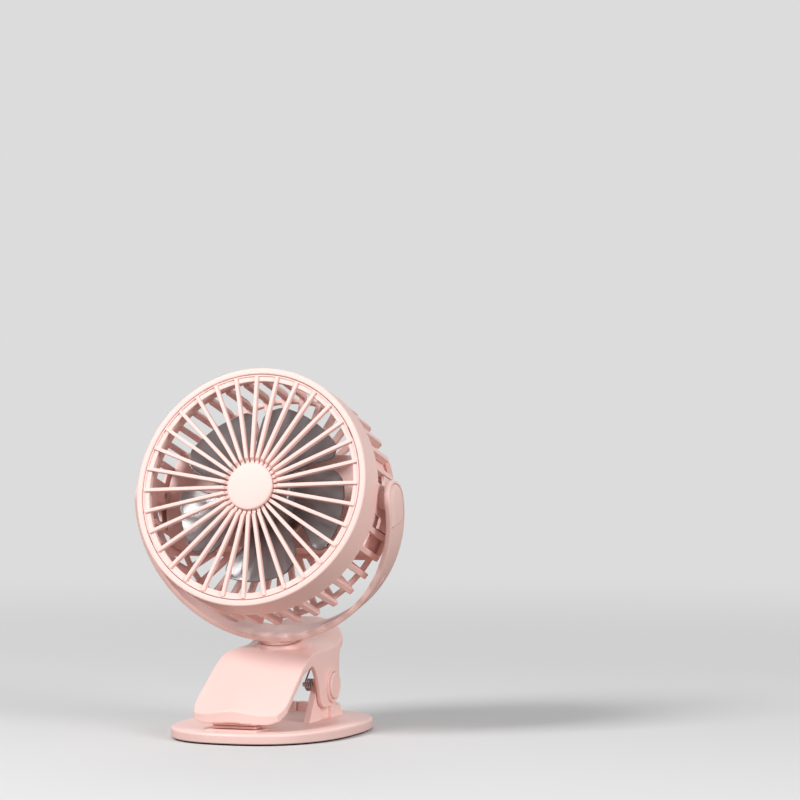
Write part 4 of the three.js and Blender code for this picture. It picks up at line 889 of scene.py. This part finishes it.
def clip_arm():
    """The lever: a bent sheet cut to its plan, with boss, pad block and ears in one skin."""
    slices = 36
    sheet = outline([(-LIP_WIDTH / 2, y, z) for y, z in sheet_profile()])
    in_edit_mode(sheet)
    for _ in range(slices):
        bpy.ops.mesh.extrude_region_move(
            TRANSFORM_OT_translate={"value": (LIP_WIDTH / slices, 0, 0)})
    bpy.ops.object.mode_set(mode='OBJECT')
    clean(sheet)
    bend_across(sheet)
    plan = extruded([(x, y, 0) for x, y in arm_plan()], (0, 0, 80 * MM))
    combined(sheet, plan, 'INTERSECT')
    combined(sheet, lip_wave(), 'DIFFERENCE')
    bore = rod(SWIVEL_BORE, -14 * MM, 0, 'z', 48)
    combined(sheet, placed(bore, YOKE_PLACE), 'DIFFERENCE')
    arm = joined([sheet, swivel_boss(), jaw_block()] + mirrored(ear))
    arm = joined([moulded_skin(arm, 0.5 * MM, 5)] + mirrored(ear_boss))
    return finished(arm, "clip_lever", "clip", pink_abs, "pink_plastic", "clip_arm", smooth=60)


def upper_pad():
    piece = softened(block(*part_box("upper_jaw_pad")), 0.4 * MM, 3)
    return finished(piece, "upper_pad", "clip", pink_rubber, "pink_grip", "upper_jaw_pad")


def pivot_cap(side):
    """A round cap pressed into the ear over the end of the pin."""
    name = SIDE_NAME[side]
    radius, face = 7.4 * MM, 28.7 * MM
    # How far each corner of the edge and the shallow dish lies inside the radius and the face.
    steps = [(0, 0.9), (0.12, 0.5), (0.45, 0.15), (0.9, 0), (1.3, 0), (1.5, 0.2), (1.7, 0.2)]
    profile = [(0, CAP_SEAT), (radius, CAP_SEAT)]
    profile += [(radius - inset * MM, face - down * MM) for inset, down in steps]
    profile.append((0, face - 0.2 * MM))
    cap = on_pin(revolved(profile, 'x', 64), side)
    return finished(cap, f"pin_cap_{name}", "clip", pink_abs, "pink_plastic", f"pivot_cap_{name}")


clip_arm()
upper_pad()
mirrored(pivot_cap)

# Yoke

SLOT_START, SLOT_END, SLOT_WIDTH = 20 * DEGREE, 60 * DEGREE, 4 * MM
END_CAP_HALF, END_CAP_SEAM, END_CAP_RIM = 9.2 * MM, 12.8 * MM, 0.45 * MM
END_CAP_REACH = 0.37  # radians round the yoke, more than its pill outline needs


def strap(inner, outer, half_width, start, end, steps):
    """A flat strap bent round the yoke's circle; angles run from straight down, towards +X."""
    points = [(r * math.sin(start), y, -r * math.cos(start)) for r, y in (
        (inner, -half_width), (outer, -half_width), (outer, half_width), (inner, half_width))]
    return placed(spun(points, (0, 1, 0), steps, end - start),
                  Matrix.Translation((0, 0, YOKE_RADIUS)))


def end_shell(side, inner, outer):
    """A short wide stretch of the yoke's curve about a tilt joint."""
    middle = side * math.pi / 2
    return strap(inner, outer, YOKE_WIDTH, middle - END_CAP_REACH, middle + END_CAP_REACH, 48)


def pill(half_width, down, from_x, to_x):
    """A round-topped outline about the tilt axis, straight across below, pushed along X."""
    points = [(-half_width, TILT_HEIGHT - down), (half_width, TILT_HEIGHT - down)]
    points += arc(half_width, (0, TILT_HEIGHT), 0, math.pi, 24)
    return extruded([(from_x, y, z) for y, z in points], (to_x - from_x, 0, 0))


def slot_cutter(side):
    """What is cut out for the long slot of one yoke arm, with round ends."""
    end = math.asin(SLOT_WIDTH / 2 / YOKE_RADIUS)
    inner, outer = YOKE_RADIUS - YOKE_THICKNESS - OVERRUN, YOKE_RADIUS + OVERRUN
    angles = sorted((side * (SLOT_START + end), side * (SLOT_END - end)))
    middle = strap(inner, outer, SLOT_WIDTH / 2, angles[0], angles[1], 20)
    for angle in angles:
        round_end = rod(SLOT_WIDTH / 2, -outer, -inner, 'z', 32)
        place = Matrix.Translation((0, 0, YOKE_RADIUS)) @ Matrix.Rotation(-angle, 4, 'Y')
        combined(middle, placed(round_end, place), 'UNION')
    return middle


def end_cap_seat(side):
    """The shallow seat of an end cap, with the hole of the tilt screw."""
    wide = side * (YOKE_RADIUS + OVERRUN)
    shell = end_shell(side, YOKE_RADIUS - 1.1 * MM, YOKE_RADIUS + OVERRUN)
    seat = pill(END_CAP_HALF + END_CAP_RIM, END_CAP_SEAM + END_CAP_RIM, side * 50 * MM, wide)
    combined(shell, seat, 'INTERSECT')
    hole = rod(2.3 * MM, side * 60 * MM, wide, 'x', 28)
    return combined(shell, placed(hole, Matrix.Translation((0, 0, TILT_HEIGHT))), 'UNION')


def yoke():
    """The half-round band with its swivel foot, slots and seats for the end caps."""
    reach = math.pi / 2 + 1.3 * YOKE_WIDTH / YOKE_RADIUS
    band = strap(YOKE_RADIUS - YOKE_THICKNESS, YOKE_RADIUS, YOKE_WIDTH / 2, -reach, reach, 128)
    wide = YOKE_RADIUS + OVERRUN
    combined(band, pill(YOKE_WIDTH / 2, TILT_HEIGHT + YOKE_WIDTH, -wide, wide), 'INTERSECT')
    foot = revolved(in_mm((0, -12), (5, -12), (5, -2.1), (11, -2.1), (11.2, -1.9), (11.2, 1.6),
                          (0, 1.6)), 'z', 64)
    band = moulded_skin(joined([band, foot]), 0.5 * MM, 4)
    for cutter in mirrored(slot_cutter) + mirrored(end_cap_seat):
        combined(band, cutter, 'DIFFERENCE')
    placed(band, YOKE_PLACE)
    return finished(band, "half_round_yoke", "yoke", pink_abs, "pink_plastic", "yoke")


def end_cap(side):
    """The pill-shaped cover over a tilt screw: domed, and following the yoke's curve."""
    name = SIDE_NAME[side]
    layers = []
    for step in range(4):
        outer = YOKE_RADIUS + (0.1 + 0.2 * step) * MM
        layer = end_shell(side, YOKE_RADIUS - 0.8 * MM, outer)
        shape = pill(END_CAP_HALF - 0.9 * MM * step, END_CAP_SEAM, side * 50 * MM,
                     side * (outer + OVERRUN))
        layers.append(combined(layer, shape, 'INTERSECT'))
    shell = moulded_skin(joined(layers), 0.22 * MM, 10)
    placed(shell, YOKE_PLACE)
    return finished(shell, f"tilt_cover_{name}", "yoke", pink_abs, "pink_plastic",
                    f"yoke_end_cap_{name}")


yoke()
mirrored(end_cap)

# Head

BAR_WIDTH, BAR_DEPTH, REAR_BAR = 3.3 * MM, 4 * MM, 3.2 * MM
GROOVE = FRONT_RADIUS - 3.6 * MM
SEAT = GROOVE - 2.7 * MM
GRILLE_BARS, GRILLE_TURN = 32, -3 * DEGREE
LATCH_TURN = 29.6  # degrees from the tilt axis to the first latch of the grille


def front_band():
    """The solid front band with its rounded ring and the ledge for the grille."""
    face, rear = -FRONT_REACH, -BAND_REACH
    inner = BODY_RADIUS - 2.6 * MM
    profile = [(GROOVE, face + 4.7 * MM), (GROOVE, face + 0.7 * MM)]
    profile += curve_through(profile[-1], (GROOVE, face), (GROOVE + 0.8 * MM, face), 4)
    profile.append((FRONT_RADIUS - 1.1 * MM, face))
    profile += curve_through(profile[-1], (FRONT_RADIUS, face), (FRONT_RADIUS, face + 1.1 * MM), 5)
    profile.append((BODY_RADIUS, rear - 0.7 * MM))
    profile += curve_through(profile[-1], (BODY_RADIUS, rear), (BODY_RADIUS - 0.7 * MM, rear), 3)
    profile += [(inner, rear), (inner, face + 6.3 * MM), (SEAT, face + 6.3 * MM),
                (SEAT, face + 4.7 * MM)]
    return revolved(profile, 'y', 160)


def basket_bar():
    """One bar of the basket: back along the side, round the corner and in across the rear."""
    side, outer = BASKET_RADIUS - BAR_DEPTH, BASKET_RADIUS
    rear, root = REAR_REACH - 0.15 * MM, -BAND_REACH - 1.5 * MM
    inner_face = rear - REAR_BAR
    points = [(side, root), (outer, root), (outer, rear - 4.2 * MM)]
    points += curve_through(points[-1], (outer, rear), (outer - 4.2 * MM, rear), 7)
    points += [(29 * MM, rear), (29 * MM, inner_face), (side - 1.8 * MM, inner_face)]
    points += curve_through(points[-1], (side, inner_face), (side, inner_face - 1.8 * MM), 4)
    bar = extruded([(r, y, -BAR_WIDTH / 2) for r, y in points], (0, 0, BAR_WIDTH))
    return softened(bar, 0.55 * MM, 3, 60)


def basket():
    """Sixteen bars on either side of the tilt axis, and the ring inside their corners."""
    bar = basket_bar()
    bars = [placed(copied(bar), Matrix.Rotation(-(turn + 15 + 10 * i) * DEGREE, 4, 'Y'))
            for turn in (0, 180) for i in range(16)]
    bpy.data.objects.remove(bar)
    corner = in_mm((60.4, 21.3), (61, 20.7), (62.8, 20.7), (63.4, 21.3), (63.4, 22.7),
                   (62.8, 23.3), (61, 23.3), (60.4, 22.7))
    return bars + [revolved(corner, 'y', 144)]


def panel_sector(profile, half_angle):
    """A piece of the head's wall, spun over a short angle across the tilt axis."""
    start = half_angle * DEGREE
    points = [(r * math.cos(start), y, -r * math.sin(start)) for r, y in profile]
    return softened(spun(points, (0, 1, 0), 16, 2 * start), 0.4 * MM, 2, 50)


def side_panel(side):
    """The strut that carries a tilt joint, and the closed wall of the chamber behind it."""
    inner, outer = BASKET_RADIUS - 2 * MM, BASKET_RADIUS
    front, middle, rear = -BAND_REACH - 0.7 * MM, 4.2 * MM, REAR_REACH
    strut = panel_sector([(inner, front), (outer, front), (outer, middle + MM),
                          (inner, middle + MM)], 7.5)
    wall = panel_sector([(inner, middle), (outer, middle), (outer, rear - 3.7 * MM),
                         (outer - 0.6 * MM, rear - 3 * MM), (inner, rear - 3 * MM)], 13)
    return turned_to(side, joined([wall, strut]))


def pivot_boss(side):
    """The round hollow boss in which the tilt screw turns."""
    reach = BODY_RADIUS + 2 * MM
    profile = [(2.1 * MM, 61.4 * MM), (5 * MM, 61.4 * MM), (5 * MM, reach - 0.4 * MM),
               (4.6 * MM, reach), (2.1 * MM, reach)]
    return turned_to(side, revolved(profile, 'x', 40))


def panel_block(radius, half_height, front, rear, steps):
    """A block across the head, straight above and below and round at its two ends."""
    reach = math.asin(half_height / radius)
    ends = [math.pi * turn + between(-reach, reach, i / steps)
            for turn in (0, 1) for i in range(steps + 1)]
    return extruded([(radius * math.cos(a), front, radius * math.sin(a)) for a in ends],
                    (0, rear - front, 0))


def rear_panel():
    """The flat rear wall, rounded off at its ends, hollow, and pierced for what shows in it."""
    rear = REAR_REACH
    panel = panel_block(BASKET_RADIUS, PANEL_HALF_HEIGHT, rear - 3.8 * MM, rear, 28)

    def round_end(edge):
        a, b = (vertex.co for vertex in edge.verts)
        return min(a.y, b.y) > rear - 0.01 * MM and (a - b).length < 5 * MM
    bevel_where(panel, round_end, 3.4 * MM, 7)
    hollow = panel_block(BASKET_RADIUS - 2.6 * MM, PANEL_HALF_HEIGHT - 2 * MM, rear - 6 * MM,
                         rear - 2 * MM, 20)
    combined(panel, hollow, 'DIFFERENCE')
    for radius, height in in_mm((4.9, 10), (1.5, 1)):  # the button and the light
        hole = rod(radius, 15 * MM, 30 * MM, 'y', 48)
        combined(panel, placed(hole, Matrix.Translation((0, 0, height))), 'DIFFERENCE')
    mouth = block((-4.8 * MM, 15 * MM, -9.95 * MM), (4.8 * MM, 30 * MM, -6.05 * MM))
    combined(panel, softened(mouth, 0.9 * MM, 3), 'DIFFERENCE')
    return softened(panel, 0.3 * MM, 2, 50)


def housing():
    parts = [front_band(), rear_panel()] + basket()
    parts += mirrored(side_panel) + mirrored(pivot_boss)
    piece = placed(joined(parts), HEAD_PLACE)
    return finished(piece, "head_housing", "head", pink_abs, "pink_plastic", "rear_housing")


def grille_bar():
    """One straight bar of the front grille, with a raised rounded tip on the rim."""
    face, width = -FRONT_REACH - 0.3 * MM, 2.1 * MM
    start, outer = 11 * MM, GROOVE - CLEARANCE - 0.5 * MM
    points = [(start, face + 1.5 * MM), (CAP_RADIUS + 1.5 * MM, face + 1.5 * MM),
              (CAP_RADIUS + 3 * MM, face), (outer, face), (outer, face + 2.8 * MM),
              (start, face + 3.4 * MM)]
    bar = extruded([(r, y, -width / 2) for r, y in points], (0, 0, width))
    return softened(bar, 0.38 * MM, 3, 30)


def latch_slit(turn):
    """What is cut out of the grille's rim beside one of its four latches."""
    rim, front, half = GROOVE - CLEARANCE, -FRONT_REACH - OVERRUN, 3.2 * MM
    slit = block((rim - 0.3 * MM, front, -half), (rim + OVERRUN, front + 8 * MM, half))
    return placed(slit, Matrix.Rotation(-turn * DEGREE, 4, 'Y'))


def front_grille():
    """The snap-in insert: a stepped rim, a hub under the cap and the bars between them."""
    face, inner, outer = -FRONT_REACH, 60 * MM, GROOVE - CLEARANCE
    rim = revolved([(inner, face + 1.1 * MM), (inner + 0.3 * MM, face + 0.9 * MM),
                    (outer - 0.9 * MM, face + 0.9 * MM), (outer - 0.9 * MM, face + 0.5 * MM),
                    (outer - 0.7 * MM, face + 0.3 * MM), (outer - 0.2 * MM, face + 0.3 * MM),
                    (outer, face + 0.5 * MM), (outer, face + 4.4 * MM), (inner, face + 4.4 * MM)],
                   'y', 144)
    for quarter in range(4):
        combined(rim, latch_slit(LATCH_TURN + 90 * quarter), 'DIFFERENCE')
    hub = revolved([(0, face + 1.3 * MM), (11.7 * MM, face + 1.3 * MM), (12 * MM, face + 1.6 * MM),
                    (12 * MM, face + 3.1 * MM), (0, face + 3.1 * MM)], 'y', 64)
    bars = around(grille_bar(), GRILLE_BARS, GRILLE_TURN)
    piece = placed(joined([rim, hub, bars]), HEAD_PLACE)
    return finished(piece, "grille_insert", "head", pink_abs, "pink_plastic", "front_grille")


def centre_cap():
    face = -FRONT_REACH - 1 * MM
    profile = [(0, face), (6 * MM, face + 0.05 * MM), (10.5 * MM, face + 0.18 * MM),
               (12.4 * MM, face + 0.35 * MM)]
    profile += curve_through(profile[-1], (CAP_RADIUS, face + 0.4 * MM),
                             (CAP_RADIUS, face + 1 * MM), 4)
    profile += [(CAP_RADIUS, face + 1.9 * MM), (0, face + 1.9 * MM)]
    cap = placed(revolved(profile, 'y', 96), HEAD_PLACE)
    return finished(cap, "grille_cap", "head", pink_abs, "pink_plastic", "centre_cap")


BLADES = 5
BLADE_TIP = 0.72  # beyond this share of its length a blade rounds off
BLADE_LEAN = 14 * DEGREE
BLADE_CAMBER = 1.8 * MM
BLADE_MIDDLE = -10.4 * MM


def blade_point(out, chord):
    """A point on the middle surface of a blade: out from the hub, and along its chord."""
    radius = between(HUB_RADIUS - 0.75 * MM, ROTOR_RADIUS, out)
    rounding = max(out - BLADE_TIP, 0) / (1 - BLADE_TIP)
    narrowing = math.sqrt(1 - 0.55 * rounding ** 2)
    reach = between(58, 64, out) * DEGREE * narrowing
    rise = between(12, 9, out) * MM * narrowing
    angle = BLADE_LEAN * out + reach * (chord - 0.5)
    y = BLADE_MIDDLE + rise * (chord - 0.5) + BLADE_CAMBER * (1 - (2 * chord - 1) ** 2)
    return (radius * math.cos(angle), y, -radius * math.sin(angle))


def blade():
    bpy.ops.object.select_all(action='DESELECT')
    bpy.ops.mesh.primitive_grid_add(x_subdivisions=40, y_subdivisions=40, size=1)
    piece = bpy.context.object
    for vertex in piece.data.vertices:
        vertex.co = blade_point(vertex.co.x + 0.5, vertex.co.y + 0.5)
    clean(piece)
    apply_modifier(piece, 'SOLIDIFY', thickness=1.3 * MM, offset=0)
    return softened(piece, 0.4 * MM, 2, 50)


def rotor():
    """The hub, a cup with a round shoulder, and its blades."""
    front, back, wall = -17 * MM, 3.6 * MM, 1.5 * MM
    profile = [(0, front), (12 * MM, front)]
    profile += curve_through(profile[-1], (HUB_RADIUS, front), (HUB_RADIUS, front + 5 * MM), 8)
    profile += [(HUB_RADIUS, back), (HUB_RADIUS - wall, back),
                (HUB_RADIUS - wall, front + 4.2 * MM), (HUB_RADIUS - 4 * wall, front + wall),
                (0, front + wall)]
    hub = revolved(profile, 'y', 96)
    piece = placed(joined([hub, around(blade(), BLADES)]), HEAD_PLACE)
    return finished(piece, "five_blade_rotor", "rotor", smoked_blades, "smoked_plastic",
                    "fan_rotor")


def chamber_cover():
    """A copy of the CAD node, whose shape is right, merged and softened."""
    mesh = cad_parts["chamber_cover"].data.copy()
    piece = bpy.data.objects.new("motor_chamber_cover", mesh)
    bpy.context.scene.collection.objects.link(piece)
    in_edit_mode(piece)
    bpy.ops.mesh.remove_doubles(threshold=MERGE_DISTANCE)
    bpy.ops.mesh.dissolve_limited(angle_limit=0.5 * DEGREE)
    bpy.ops.object.mode_set(mode='OBJECT')
    softened(piece, 0.35 * MM, 2, 45)
    return finished(piece, "motor_chamber_cover", "head", pink_abs, "pink_plastic",
                    "chamber_cover")


housing()
front_grille()
centre_cap()
rotor()
chamber_cover()

# CAD nodes that stay, with better materials

KEPT = {
    spring_steel: ("swivel_washer", "swivel_screw", "cover_screw_left", "cover_screw_right",
                   "tilt_screw_left", "tilt_screw_right", "usb_socket", "motor_shaft"),
    pink_rubber: ("friction_ring_left", "friction_ring_right"),
    coil_copper: ("motor_stator",),
    bearing_bronze: ("shaft_bearing_front", "shaft_bearing_rear"),
    cell_foil: ("battery_cell",),
    solder_mask: ("circuit_board",),
    milky_acrylic: ("light_pipe",),
    ferrite: ("magnet_ring",),
    pink_abs: ("power_button",),
}
for material, names in KEPT.items():
    for name in names:
        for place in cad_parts[name].material_slots:
            place.material = material
